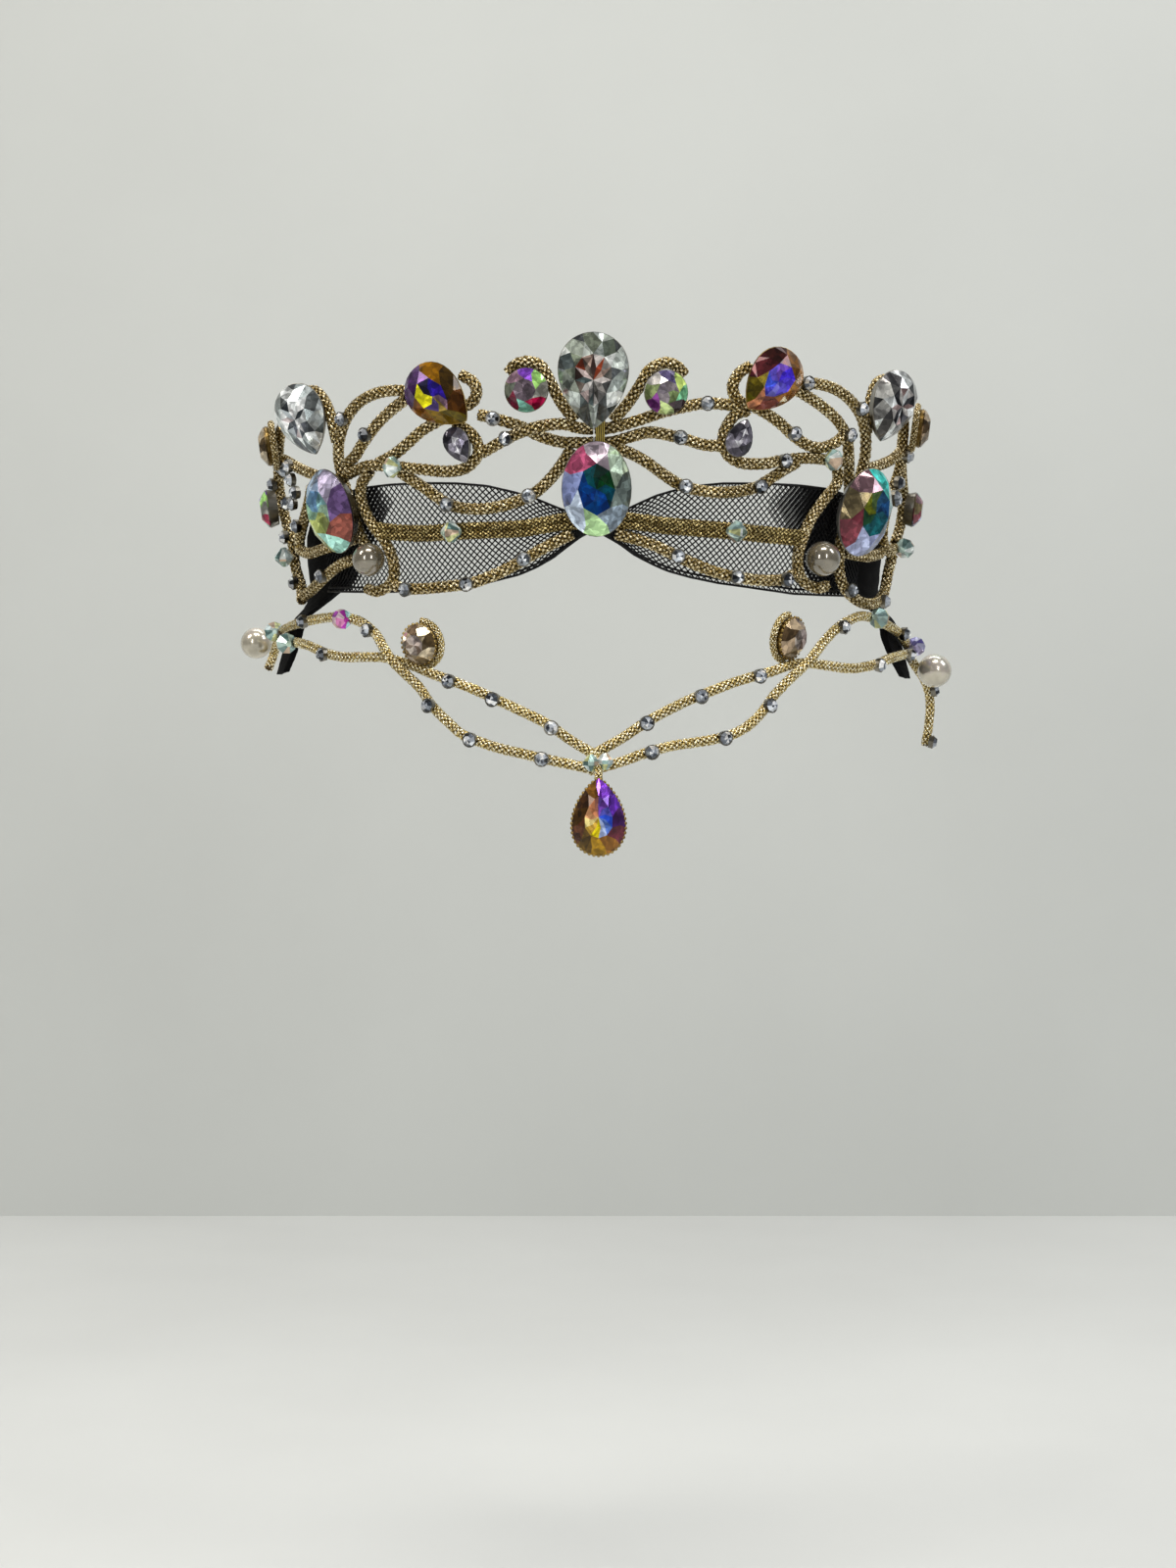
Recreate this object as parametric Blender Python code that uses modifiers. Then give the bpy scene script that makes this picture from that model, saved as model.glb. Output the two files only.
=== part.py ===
"""Ballet tiara of gold braided cord on wire, with cut glass stones, a net band and a forehead drape.

The front looks towards -Y, +X is on the right of someone who looks at the front, and +Z is up.
The origin is the centre of the opening, level with the lower edge of the tiara's front.
The cords lie on an oval wall that flares up and down from the origin's level. Every place on it
is given by a bearing from the middle of the front, in degrees, a height and a lift off the wall,
both in millimetres.
"""
import math

import bmesh
import bpy
from mathutils import Matrix, Vector

MM = 0.001

# Oval wall on which the cords lie, and how far stones look down from level
WALL_HALF_WIDTH = 67.0
WALL_HALF_DEPTH = 78.0
BAND_FLARE = 0.17
BROW_FLARE = 0.27
FACE_DOWN = -8.0

# Cord, thread and cloth
CORD_RADIUS = 1.15
PAIR_CORD_RADIUS = 0.9
PAIR_HALF_PITCH = 0.75
DRAPE_CORD_RADIUS = 1.0
CORD_BEVEL_RESOLUTION = 1
CORD_STEP = 6.0
CORD_TURN = 30.0
CURVE_STEPS = 12
SEWN_GAP = 0.35
NET_FRONT_LIFT = -1.65
NET_THICKNESS = 1.0
NET_STRIPS = 5
VELVET_THICKNESS = 1.2
VELVET_STRIPS = 4

# Setting: rim round the glass, depth of the cup, and the share of the width at its foot
SETTING_RIM = 0.35
SETTING_DEPTH = 1.9
SETTING_FOOT = 0.86
RIM_FROM_WIDTH = 9.0

# Cut glass: sides, and the share of the width at its foot, at the ring of facets and at the table
STONE_SIDES = 12
TABLE_SIDES = 8
GLASS_FOOT = 0.8
GLASS_FOOT_HEIGHT = 0.8
GIRDLE_HEIGHT = 0.3
CROWN_WIDTH = 0.84
CROWN_RISE = 0.62
TABLE_WIDTH = 0.56
PEAR_TAPER = 0.3
PEAR_SPREAD = 1.19

# Small round stones. Columns of the profile: share of the diameter, height, turn of the ring, growth
CHATON_DIAMETER = 3.0
CHATON_SINK = 0.45
CHATON_PROFILE = [(0.9, 0.0, 0.0, -1.0), (1.0, 1.0, 0.0, 1.0), (0.6, 1.9, 0.5, 1.0)]

# Beads on a cord. Columns: half width, half length, half height of the waist, seat off the cord
BEADS = {"bicone": (2.2, 2.0, 0.25, 1.0), "bead": (2.0, 1.7, 0.7, 0.9)}
BEAD_SIDES = 10
BEAD_END_WIDTH = 0.35
PEARL_SEGMENTS = 12
PEARL_RINGS = 8

LEFT, RIGHT = -1, 1

# Cords that are one solid with the cord from which they branch
BRANCH_OF = {"pear_loop": "tall_arch", "side_arm": "edge_scroll"}

# Cords of the left side. Columns: bearing away from the middle, height, lift
LEFT_CORDS = {
    "upper_strand": [
        (18.0, 29.6, 0.0), (16.4, 29.1, 0.0), (13.8, 28.1, 0.0), (11.1, 26.9, 0.0), (8.4, 25.2, 0.0),
        (5.2, 24.0, 0.0), (2.4, 23.8, 0.0), (0.15, 23.8, 0.0)],
    "crossing_strand": [
        (18.0, 22.3, 0.0), (15.7, 23.6, 0.2), (13.1, 24.9, 1.1), (10.3, 25.9, 2.6), (7.6, 26.8, 2.2),
        (4.6, 27.2, 0.9), (2.4, 26.6, 0.0), (0.15, 26.4, 0.0)],
    "round_scroll": [
        (2.9, 28.0, 0.0), (5.1, 31.6, 0.0), (6.7, 35.5, 0.0), (7.9, 38.2, 0.0), (9.9, 39.2, 0.0),
        (11.8, 38.7, 0.0), (13.0, 37.2, 0.0)],
    "tall_arch": [
        (26.6, 34.0, 0.0), (29.6, 35.0, 0.0), (32.8, 35.6, 0.0), (36.6, 35.4, 0.0), (40.4, 34.0, 0.0),
        (43.4, 31.5, 0.0), (45.7, 27.8, 0.0), (46.6, 24.5, 0.0), (46.4, 20.6, 0.0), (45.4, 15.8, 0.0),
        (44.2, 10.6, 0.0), (42.6, 6.0, 0.0), (41.2, 3.2, 0.0)],
    "hook": [
        (45.6, 20.4, 0.0), (42.6, 21.2, 0.0), (39.2, 21.7, 0.0), (34.0, 21.0, 0.0), (29.0, 20.0, 0.0),
        (24.0, 19.2, 0.0), (20.6, 19.8, 0.0), (18.5, 22.3, 0.0), (18.9, 25.2, 0.0), (20.6, 27.2, 0.0),
        (22.2, 28.4, 0.0)],
    "low_arch": [
        (37.4, 22.0, 0.0), (34.2, 23.2, 0.0), (31.5, 24.8, 0.0), (28.0, 27.4, 0.0), (24.6, 29.2, 0.0),
        (21.4, 30.9, 0.0), (19.1, 32.0, 0.0), (18.2, 33.8, 0.0), (18.7, 35.9, 0.0), (20.6, 37.4, 0.0)],
    "mid_arch": [
        (44.8, 22.6, 0.0), (42.4, 24.0, 0.0), (40.4, 26.1, 0.0), (37.1, 29.2, 0.0), (33.8, 31.7, 0.0),
        (30.4, 33.8, 0.0)],
    "pear_loop": [
        (53.0, 38.4, 0.0), (50.4, 38.0, 0.0), (48.4, 35.8, 0.0), (47.3, 32.6, 0.0), (46.9, 29.4, 0.0),
        (46.6, 27.4, 0.0)],
    "scallop": [
        (33.0, 19.8, 0.0), (31.2, 18.4, 0.0), (28.4, 16.2, 0.0), (25.3, 13.6, 0.0), (22.2, 12.1, 0.0),
        (17.9, 11.7, 0.0), (13.5, 12.5, 0.0), (9.8, 14.2, 0.0), (7.3, 16.6, 0.0), (5.3, 19.4, 0.0),
        (3.5, 22.7, 0.0)],
    "pearl_wave": [
        (39.4, 20.6, 0.0), (41.8, 18.2, 0.0), (42.2, 14.5, 0.0), (40.4, 10.2, 0.0), (37.9, 6.7, 0.0),
        (36.5, 2.2, 0.0), (36.8, -1.6, 0.0), (39.6, -3.2, 0.0), (42.4, -2.6, 0.0)],
    "bottom_curve": [
        (3.6, 6.6, 0.0), (5.6, 5.4, 0.0), (8.9, 3.5, 0.0), (12.0, 1.5, 0.0), (16.2, -0.8, 0.0),
        (20.6, -2.6, 0.0), (25.1, -3.1, 0.0), (30.0, -3.3, 0.0), (33.6, -3.1, 0.0), (36.4, -2.2, 0.0)],
    "edge_scroll": [
        (60.0, 33.6, 0.0), (64.4, 33.2, 0.0), (67.8, 30.2, 0.0), (70.6, 26.2, 0.0), (73.4, 20.8, 0.0),
        (72.0, 14.8, 0.0), (69.6, 9.6, 0.0), (70.4, 4.6, 0.0), (68.6, 0.4, 0.0), (65.6, -3.2, 0.0)],
    "side_arm": [
        (69.4, 27.4, 0.0), (65.0, 26.2, 0.0), (60.0, 24.0, 0.0), (54.6, 21.8, 0.0), (47.4, 19.4, 0.0)],
    "side_loop": [
        (56.0, 19.6, 0.0), (58.8, 15.6, 0.0), (63.2, 11.4, 0.0), (65.4, 8.0, 0.0), (61.0, 6.4, 0.0),
        (54.6, 6.7, 0.0), (48.6, 7.2, 0.0), (44.2, 7.8, 0.0)],
    "side_curve": [
        (43.0, 3.6, 0.0), (46.8, 3.6, 0.0), (51.0, 2.8, 0.0), (55.6, 1.2, 0.0), (61.0, -1.0, 0.0),
        (65.4, -2.2, 0.0)],
}

# Cords of the right side, in the same columns
RIGHT_CORDS = {
    "upper_strand": [
        (22.8, 31.7, 0.0), (17.9, 31.8, 0.0), (14.3, 31.0, 0.0), (10.7, 29.8, 0.0), (7.6, 28.4, 0.0),
        (4.8, 27.3, 0.0), (2.4, 26.6, 0.0), (0.15, 26.4, 0.0)],
    "crossing_strand": [
        (20.4, 23.9, 0.0), (17.5, 23.9, 0.0), (13.2, 25.1, 0.0), (8.8, 25.9, 0.0), (5.6, 24.9, 0.0),
        (2.6, 23.9, 0.0), (0.15, 23.8, 0.0)],
    "round_scroll": [
        (2.9, 28.0, 0.0), (5.0, 31.0, 0.0), (7.0, 34.7, 0.0), (8.4, 37.6, 0.0), (10.7, 39.0, 0.0),
        (12.6, 38.4, 0.0), (13.8, 36.9, 0.0)],
    "tall_arch": [
        (31.6, 36.6, 0.0), (35.7, 37.4, 0.0), (40.3, 37.2, 0.0), (44.7, 35.6, 0.0), (48.2, 33.0, 0.0),
        (50.4, 29.4, 0.0), (51.2, 25.5, 0.0), (50.6, 21.0, 0.0), (49.0, 15.0, 0.0), (47.8, 9.4, 0.0),
        (47.6, 4.2, 0.0), (49.2, -1.0, 0.0), (53.0, -4.2, 0.0), (59.0, -4.3, 0.0), (65.6, -1.8, 0.0),
        (68.8, 3.0, 0.0), (69.8, 7.0, 0.0)],
    "mid_arch": [
        (32.8, 35.9, 0.0), (35.4, 34.8, 0.0), (38.9, 33.2, 0.0), (42.8, 30.9, 0.0), (45.4, 28.0, 0.0),
        (46.6, 24.6, 0.0), (47.4, 20.6, 0.0), (48.4, 16.4, 0.0)],
    "hook": [
        (24.6, 31.0, 0.0), (22.2, 29.6, 0.0), (20.7, 25.9, 0.0), (21.5, 22.5, 0.0), (24.1, 20.9, 0.0),
        (28.2, 21.0, 0.0), (31.6, 21.9, 0.0), (36.5, 22.9, 0.0), (41.4, 23.1, 0.0), (46.4, 23.4, 0.0)],
    "low_arch": [
        (24.4, 39.4, 0.0), (22.6, 37.8, 0.0), (21.7, 35.2, 0.0), (22.8, 32.7, 0.0), (26.4, 31.4, 0.0),
        (30.3, 29.3, 0.0), (33.6, 26.9, 0.0), (36.8, 25.4, 0.0), (39.8, 25.3, 0.0), (42.8, 26.7, 0.0),
        (44.6, 28.4, 0.0)],
    "pear_loop": [
        (53.4, 41.0, 0.0), (51.4, 39.4, 0.0), (50.6, 36.4, 0.0), (50.6, 33.0, 0.0), (50.8, 29.8, 0.0)],
    "scallop": [
        (3.4, 22.8, 0.0), (5.6, 21.9, 0.0), (8.2, 20.3, 0.0), (11.1, 18.0, 0.0), (14.4, 15.9, 0.0),
        (18.8, 15.0, 0.0), (23.1, 15.2, 0.0), (26.8, 16.2, 0.0), (29.6, 18.1, 0.0), (32.6, 20.4, 0.0),
        (34.8, 21.8, 0.0)],
    "pearl_wave": [
        (43.4, 22.6, 0.0), (44.6, 19.2, 0.0), (41.8, 15.2, 0.0), (39.2, 11.2, 0.0), (37.8, 7.0, 0.0),
        (37.2, 3.0, 0.0), (38.4, -0.8, 0.0), (41.4, -2.4, 0.0), (44.4, -1.8, 0.0)],
    "bottom_curve": [
        (3.6, 6.6, 0.0), (5.8, 5.9, 0.0), (9.4, 4.7, 0.0), (14.1, 2.4, 0.0), (19.1, 0.2, 0.0),
        (23.7, -1.1, 0.0), (28.9, -1.6, 0.0), (34.0, -1.2, 0.0), (37.0, 0.2, 0.0)],
    "edge_scroll": [
        (57.4, 35.0, 0.0), (60.6, 36.4, 0.0), (63.6, 34.0, 0.0), (64.8, 29.4, 0.0), (65.4, 24.8, 0.0),
        (63.6, 20.0, 0.0), (61.8, 14.8, 0.0), (62.2, 9.8, 0.0), (66.6, 7.4, 0.0), (71.2, 9.0, 0.0)],
    "side_arm": [
        (66.2, 29.4, 0.0), (62.0, 26.4, 0.0), (57.4, 24.4, 0.0), (52.0, 22.6, 0.0)],
    "side_loop": [
        (70.2, 9.6, 0.0), (72.6, 14.0, 0.0), (71.0, 19.4, 0.0), (67.6, 23.0, 0.0), (66.0, 25.6, 0.0)],
    "side_curve": [
        (48.6, 5.4, 0.0), (52.8, 5.2, 0.0), (57.6, 5.4, 0.0), (62.6, 6.6, 0.0)],
}

# Pair of thin cords across the middle of the net. Columns: bearing, height, lift
MIDDLE_PAIRS = {
    LEFT: [
        (39.0, 8.9, 0.0), (36.0, 8.3, 0.0), (30.2, 7.6, 0.0), (24.5, 7.6, 0.0), (18.1, 7.6, 0.0),
        (11.7, 7.7, 0.0), (5.6, 8.7, 0.0), (1.2, 9.2, 0.0)],
    RIGHT: [
        (37.6, 7.2, 0.0), (29.5, 7.4, 0.0), (22.7, 7.7, 0.0), (12.2, 8.2, 0.0), (5.6, 9.0, 0.0),
        (1.2, 9.2, 0.0)],
}

MIDDLE_BEAD = ("bicone", 23.4, 7.6)

# Cords of the forehead drape. Columns: bearing, height, lift
DRAPE_CORDS = {
    LEFT: {
        "drape_rising": [
            (76.8, -10.9, 0.0), (70.0, -11.4, 0.0), (63.0, -12.2, 0.0), (56.4, -13.4, 0.0),
            (49.8, -15.4, 0.0), (44.6, -16.4, 0.0), (39.7, -16.6, 0.0), (35.5, -16.9, 0.0),
            (32.4, -17.8, 0.0), (29.2, -18.9, 0.0), (25.3, -20.7, 0.0), (22.1, -22.0, 0.0),
            (18.2, -23.8, 0.0), (15.0, -25.6, 0.0), (10.6, -28.1, 0.0), (6.6, -30.7, 0.0),
            (3.4, -33.6, 0.0), (0.2, -36.2, 0.0)],
        "drape_falling": [
            (84.0, -16.4, 0.8), (85.6, -13.4, 0.6), (83.6, -10.6, 0.4), (79.0, -9.0, 0.0),
            (72.0, -8.5, 0.0), (63.4, -8.1, 0.0), (54.1, -7.8, 0.0), (47.5, -8.1, 0.0),
            (42.5, -9.3, 0.0), (38.4, -12.0, 0.0), (35.1, -15.0, 1.4), (32.4, -17.7, 2.4),
            (30.0, -20.3, 1.6), (27.6, -23.2, 0.2), (25.1, -26.8, 0.0), (22.1, -30.0, 0.0),
            (19.3, -32.6, 0.0), (14.4, -34.9, 0.0), (10.3, -36.2, 0.0), (7.0, -37.2, 0.0),
            (3.6, -38.2, 0.0), (0.2, -39.2, 0.0)],
    },
    RIGHT: {
        "drape_rising": [
            (77.4, -13.8, 0.0), (71.8, -14.1, 0.0), (66.0, -14.8, 0.0), (60.3, -15.8, 0.0),
            (55.6, -17.0, 0.0), (50.9, -18.0, 0.0), (46.2, -18.6, 0.0), (40.5, -18.3, 0.0),
            (36.4, -18.0, 0.0), (34.0, -18.2, 0.0), (31.5, -18.9, 0.0), (28.9, -19.9, 0.0),
            (26.0, -20.8, 0.0), (21.6, -22.4, 0.0), (17.2, -24.4, 0.0), (13.7, -26.2, 0.0),
            (10.0, -28.5, 0.0), (7.1, -30.6, 0.0), (4.1, -33.2, 0.0), (0.2, -36.2, 0.0)],
        "drape_falling": [
            (85.4, -33.4, -2.0), (86.0, -28.4, 0.2), (86.0, -23.2, 1.8), (84.6, -19.0, 1.6),
            (80.4, -15.2, 0.0), (75.6, -11.8, 0.0), (70.4, -9.9, 0.0), (64.1, -8.7, 0.0),
            (58.7, -7.7, 0.0), (53.2, -7.4, 0.0), (48.3, -8.8, 0.0), (44.2, -10.9, 0.0),
            (40.3, -13.8, 0.2), (37.0, -16.2, 1.5), (34.2, -18.4, 2.4), (31.6, -21.0, 1.6),
            (28.6, -24.6, 0.2), (25.4, -28.8, 0.0), (22.2, -31.6, 0.0), (18.8, -33.1, 0.0),
            (14.9, -34.0, 0.0), (11.3, -34.7, 0.0), (7.6, -36.0, 0.0), (4.0, -37.7, 0.0),
            (0.2, -39.2, 0.0)],
    },
}

# Small round stones and cut beads sewn on a cord. Columns: cord, kind, bearing, height
LEFT_TRIMS = [
    ("crossing_strand", "chaton", 12.6, 25.1),
    ("upper_strand", "chaton", 15.4, 28.6),
    ("tall_arch", "chaton", 43.4, 31.5),
    ("mid_arch", "chaton", 38.6, 27.8),
    ("hook", "bicone", 33.2, 20.9),
    ("scallop", "chaton", 24.0, 12.9),
    ("scallop", "chaton", 10.2, 13.9),
    ("bottom_curve", "chaton", 11.4, 1.9),
    ("bottom_curve", "chaton", 21.2, -2.6),
    ("bottom_curve", "chaton", 32.6, -3.2),
    ("edge_scroll", "chaton", 72.8, 22.6),
    ("edge_scroll", "chaton", 70.0, 11.0),
    ("edge_scroll", "bicone", 69.8, 6.8),
    ("edge_scroll", "chaton", 69.0, 1.0),
    ("side_arm", "chaton", 61.6, 24.7),
    ("side_loop", "chaton", 62.2, 12.2),
    ("side_curve", "chaton", 55.4, 1.3),
]
RIGHT_TRIMS = [
    ("crossing_strand", "chaton", 13.2, 25.1),
    ("upper_strand", "chaton", 17.2, 31.8),
    ("tall_arch", "chaton", 34.4, 37.2),
    ("tall_arch", "chaton", 47.0, 34.0),
    ("mid_arch", "chaton", 45.0, 28.6),
    ("low_arch", "chaton", 33.0, 27.6),
    ("hook", "chaton", 31.6, 21.9),
    ("hook", "bicone", 41.0, 23.1),
    ("scallop", "chaton", 14.4, 15.9),
    ("scallop", "chaton", 27.4, 16.6),
    ("bottom_curve", "chaton", 13.7, 2.6),
    ("bottom_curve", "chaton", 24.2, -1.2),
    ("bottom_curve", "chaton", 34.0, -1.2),
    ("tall_arch", "chaton", 50.4, -2.2),
    ("tall_arch", "chaton", 62.0, -3.6),
    ("edge_scroll", "chaton", 65.2, 27.4),
    ("edge_scroll", "chaton", 62.8, 17.8),
    ("edge_scroll", "bicone", 70.6, 8.8),
    ("side_loop", "chaton", 72.2, 15.6),
]
LEFT_DRAPE_TRIMS = [
    ("drape_falling", "bicone", 76.0, -8.7),
    ("drape_falling", "chaton", 59.6, -8.0),
    ("drape_falling", "bead", 45.6, -8.6),
    ("drape_falling", "chaton", 39.4, -11.2),
    ("drape_falling", "chaton", 25.0, -26.8),
    ("drape_falling", "chaton", 17.8, -33.4),
    ("drape_falling", "chaton", 7.2, -37.1),
    ("drape_rising", "bicone", 63.0, -12.2),
    ("drape_rising", "chaton", 49.6, -15.4),
    ("drape_rising", "chaton", 22.2, -22.0),
    ("drape_rising", "chaton", 14.9, -25.7),
    ("drape_rising", "chaton", 5.8, -31.2),
]
RIGHT_DRAPE_TRIMS = [
    ("drape_falling", "chaton", 82.0, -31.6),
    ("drape_falling", "chaton", 84.0, -22.8),
    ("drape_falling", "bead", 76.0, -12.0),
    ("drape_falling", "chaton", 69.8, -9.8),
    ("drape_falling", "bicone", 56.4, -7.4),
    ("drape_falling", "chaton", 45.4, -10.2),
    ("drape_falling", "chaton", 26.9, -26.8),
    ("drape_falling", "chaton", 19.0, -33.0),
    ("drape_falling", "chaton", 8.0, -35.8),
    ("drape_rising", "chaton", 70.0, -14.3),
    ("drape_rising", "chaton", 53.6, -17.4),
    ("drape_rising", "chaton", 25.9, -20.8),
    ("drape_rising", "chaton", 15.8, -25.0),
    ("drape_rising", "chaton", 7.4, -30.4),
]

# Stones in settings. Columns: name, outline, width, height, depth, bearing, height on the wall, lift,
# the bearing that the stone faces, turn anticlockwise in degrees
STONES = [
    ("centre_pear", "pear", 12.9, 17.6, 6.0, -0.1, 35.1, 2.3, 0.0, 0.0),
    ("centre_oval", "oval", 12.8, 17.6, 5.8, 0.4, 14.8, 2.6, 0.0, 0.0),
    ("left_round_stone", "oval", 7.9, 7.9, 4.4, -10.0, 33.8, 0.4, -8.0, 0.0),
    ("right_round_stone", "oval", 7.9, 7.9, 4.4, 10.7, 33.4, 0.4, 8.0, 0.0),
    ("left_amber_pear", "pear", 10.4, 14.2, 5.2, -23.4, 33.2, 1.7, -18.0, 49.0),
    ("right_amber_pear", "pear", 10.2, 13.8, 5.2, 26.9, 36.4, 1.7, 20.0, -42.0),
    ("left_small_pear", "pear", 4.6, 6.8, 3.2, -21.3, 24.0, 0.2, -16.0, 25.0),
    ("right_small_pear", "pear", 4.8, 7.0, 3.2, 23.0, 25.6, 0.2, 16.0, 160.0),
    ("left_clear_pear", "pear", 10.4, 14.4, 5.2, -50.4, 32.0, 3.2, -22.0, 21.0),
    ("right_clear_pear", "pear", 10.2, 14.4, 5.2, 52.0, 35.0, 2.8, 32.0, -18.0),
    ("left_side_oval", "oval", 12.4, 17.2, 5.4, -46.4, 13.4, 2.0, -47.0, 22.0),
    ("right_side_oval", "oval", 12.4, 17.6, 5.4, 49.0, 13.4, 2.3, 35.0, -15.0),
    ("left_end_stone", "oval", 7.6, 7.8, 3.6, -64.0, 29.2, 2.2, -84.0, 0.0),
    ("right_end_stone", "oval", 7.4, 7.6, 3.6, 64.4, 33.0, 1.8, 84.0, 0.0),
    ("left_edge_stone", "oval", 7.2, 7.6, 3.6, -69.8, 17.0, 2.0, -82.0, 0.0),
    ("right_edge_stone", "oval", 6.6, 6.8, 3.6, 68.4, 16.6, 1.6, 80.0, 0.0),
    ("left_brown_oval", "oval", 6.8, 7.6, 4.2, -28.0, -14.4, 0.3, -24.0, 15.0),
    ("right_brown_oval", "oval", 6.6, 7.8, 4.2, 32.2, -13.0, 0.3, 46.0, -15.0),
]

# Pearls. Columns: name, diameter, bearing, height, lift of the centre
PEARLS = [
    ("left_front_pearl", 6.6, -39.6, 2.9, 3.2),
    ("right_front_pearl", 7.0, 40.8, 3.2, 2.9),
    ("left_end_pearl", 7.0, -87.0, -10.6, 5.3),
    ("right_end_pearl", 7.4, 79.8, -17.2, 4.2),
]

# Drop at the point of the drape
DROP_SIZE = (9.6, 14.0, 4.6)
DROP_BEARING = 0.6
DROP_HEIGHT = -48.2
DROP_LIFT = 1.2
DROP_BEAD = (1.7, 1.6, 0.4)
DROP_BEADS = [(-0.4, -38.0, 2.5), (1.5, -37.7, 2.5)]
DROP_NECK_RADIUS = 0.8
DROP_NECK_SINK = 1.5
DROP_NECK_LIFT = 1.6

# Net band. Columns: bearing, height of the top edge, height of the lower edge
NET_SECTIONS = {
    LEFT: [
        (0.4, 9.8, 7.2), (2.2, 10.0, 6.2), (4.4, 11.0, 4.4), (7.0, 12.2, 2.2), (9.8, 13.6, 0.5),
        (13.0, 14.8, -1.0), (18.0, 16.3, -2.3), (23.5, 17.1, -3.0), (30.0, 17.6, -3.3),
        (37.0, 17.9, -3.4), (44.0, 17.9, -3.0), (51.0, 17.0, -2.4), (58.0, 15.0, -1.8)],
    RIGHT: [
        (0.4, 9.8, 7.2), (2.2, 10.0, 6.2), (4.4, 10.8, 4.8), (7.0, 12.3, 2.7), (10.3, 14.1, 0.9),
        (13.0, 15.1, -0.3), (16.8, 16.2, -1.4), (22.0, 17.0, -2.4), (30.0, 17.5, -3.2),
        (37.5, 17.8, -3.8), (44.3, 17.8, -3.6), (51.6, 17.0, -3.2), (58.0, 15.4, -2.6)],
}

# Velvet tab behind the end of the net, down to the drape.
# Columns: height, inner bearing, outer bearing, lift of its front
VELVET_SECTIONS = {
    LEFT: [
        (14.0, 53.0, 64.0, -3.05), (10.0, 50.5, 69.0, -3.05), (5.0, 50.0, 71.5, -3.05),
        (0.0, 52.5, 72.5, -3.05), (-3.5, 60.0, 74.0, -3.05), (-7.0, 66.0, 77.0, -1.4),
        (-11.0, 67.0, 80.5, -1.4), (-15.0, 68.0, 81.5, -1.4), (-18.0, 70.0, 80.0, -1.4)],
    RIGHT: [
        (13.0, 56.0, 66.0, -3.05), (9.5, 53.0, 71.0, -3.05), (5.0, 52.0, 73.5, -3.05),
        (0.0, 54.0, 75.5, -3.05), (-3.5, 62.0, 77.0, -3.05), (-7.0, 65.0, 79.0, -1.4),
        (-11.0, 64.5, 81.0, -1.4), (-15.0, 66.0, 81.0, -1.4), (-19.0, 70.0, 78.0, -1.4)],
}

# Thread binding at the middle. Columns of the profile: share of its height, share of its depth
BINDING_SIZE = (2.0, 7.4, 3.8)
BINDING_BEARING = 1.0
BINDING_HEIGHT = 25.1
BINDING_REACH = 5.0
BINDING_PROFILE = [
    (-0.5, -0.3), (-0.5, 0.3), (-0.36, 0.5), (0.36, 0.5), (0.5, 0.3), (0.5, -0.3), (0.36, -0.5),
    (-0.36, -0.5)]

# Finishes. Columns: colour as linear red, green and blue, roughness, metallic
FINISHES = {
    "gold_cord": ((0.26, 0.16, 0.045), 0.38, 0.85),
    "drape_cord": ((0.46, 0.34, 0.12), 0.38, 0.85),
    "thread": ((0.55, 0.42, 0.10), 0.6, 0.0),
    "clear_glass": ((0.55, 0.57, 0.58), 0.06, 0.4),
    "rainbow_glass": ((0.42, 0.50, 0.58), 0.06, 0.4),
    "amber_glass": ((0.50, 0.24, 0.03), 0.06, 0.4),
    "smoky_glass": ((0.22, 0.15, 0.09), 0.08, 0.4),
    "pearl": ((0.68, 0.66, 0.62), 0.25, 0.0),
    "net": ((0.012, 0.012, 0.014), 0.6, 0.0),
    "velvet": ((0.008, 0.008, 0.010), 0.9, 0.0),
}


def half_axes(height):
    """Half width and half depth of the wall's outline at a height, in millimetres."""
    spread = BAND_FLARE * height if height >= 0.0 else -BROW_FLARE * height
    return WALL_HALF_WIDTH + spread, WALL_HALF_DEPTH + spread


def on_wall(bearing, height, lift):
    """Point in metres at a bearing, a height and a lift."""
    half_width, half_depth = half_axes(height)
    angle = math.radians(bearing)
    x = (half_width + lift) * math.sin(angle)
    y = -(half_depth + lift) * math.cos(angle)
    return Vector((x, y, height)) * MM


def facing(bearing, down=FACE_DOWN):
    """Unit direction that looks out at a bearing and a little down."""
    angle = math.radians(bearing)
    dip = math.radians(down)
    flat = math.cos(dip)
    return Vector((math.sin(angle) * flat, -math.cos(angle) * flat, math.sin(dip)))


def placed(origin, outward, turn=0.0):
    """Matrix that puts a shape with its face along +Z and its top along +Y at a place."""
    right = Vector((0.0, 0.0, 1.0)).cross(outward).normalized()
    up = outward.cross(right)
    frame = Matrix((right, up, outward)).transposed().to_4x4()
    return Matrix.Translation(origin) @ frame @ Matrix.Rotation(math.radians(turn), 4, "Z")


def smooth_route(points, step):
    """Points on a smooth curve through the given points, a step apart and closer where it bends."""
    knots = [2 * points[0] - points[1]] + points + [2 * points[-1] - points[-2]]
    dense = []
    for first, start, end, last in zip(knots, knots[1:], knots[2:], knots[3:]):
        for k in range(CURVE_STEPS):
            t = k / CURVE_STEPS
            dense.append(0.5 * (2 * start + (end - first) * t
                                + (2 * first - 5 * start + 4 * end - last) * t * t
                                + (3 * start - first - 3 * end + last) * t ** 3))
    dense.append(points[-1])
    route = [dense[0]]
    run = turned = 0.0
    for before, here, after in zip(dense, dense[1:], dense[2:]):
        run += (here - before).length
        turned += math.degrees((here - before).angle(after - here))
        if run >= step or turned >= CORD_TURN:
            route.append(here)
            run = turned = 0.0
    if (route[-1] - dense[-1]).length < 0.4 * step and len(route) > 2:
        route.pop()
    route.append(dense[-1])
    return route


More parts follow.
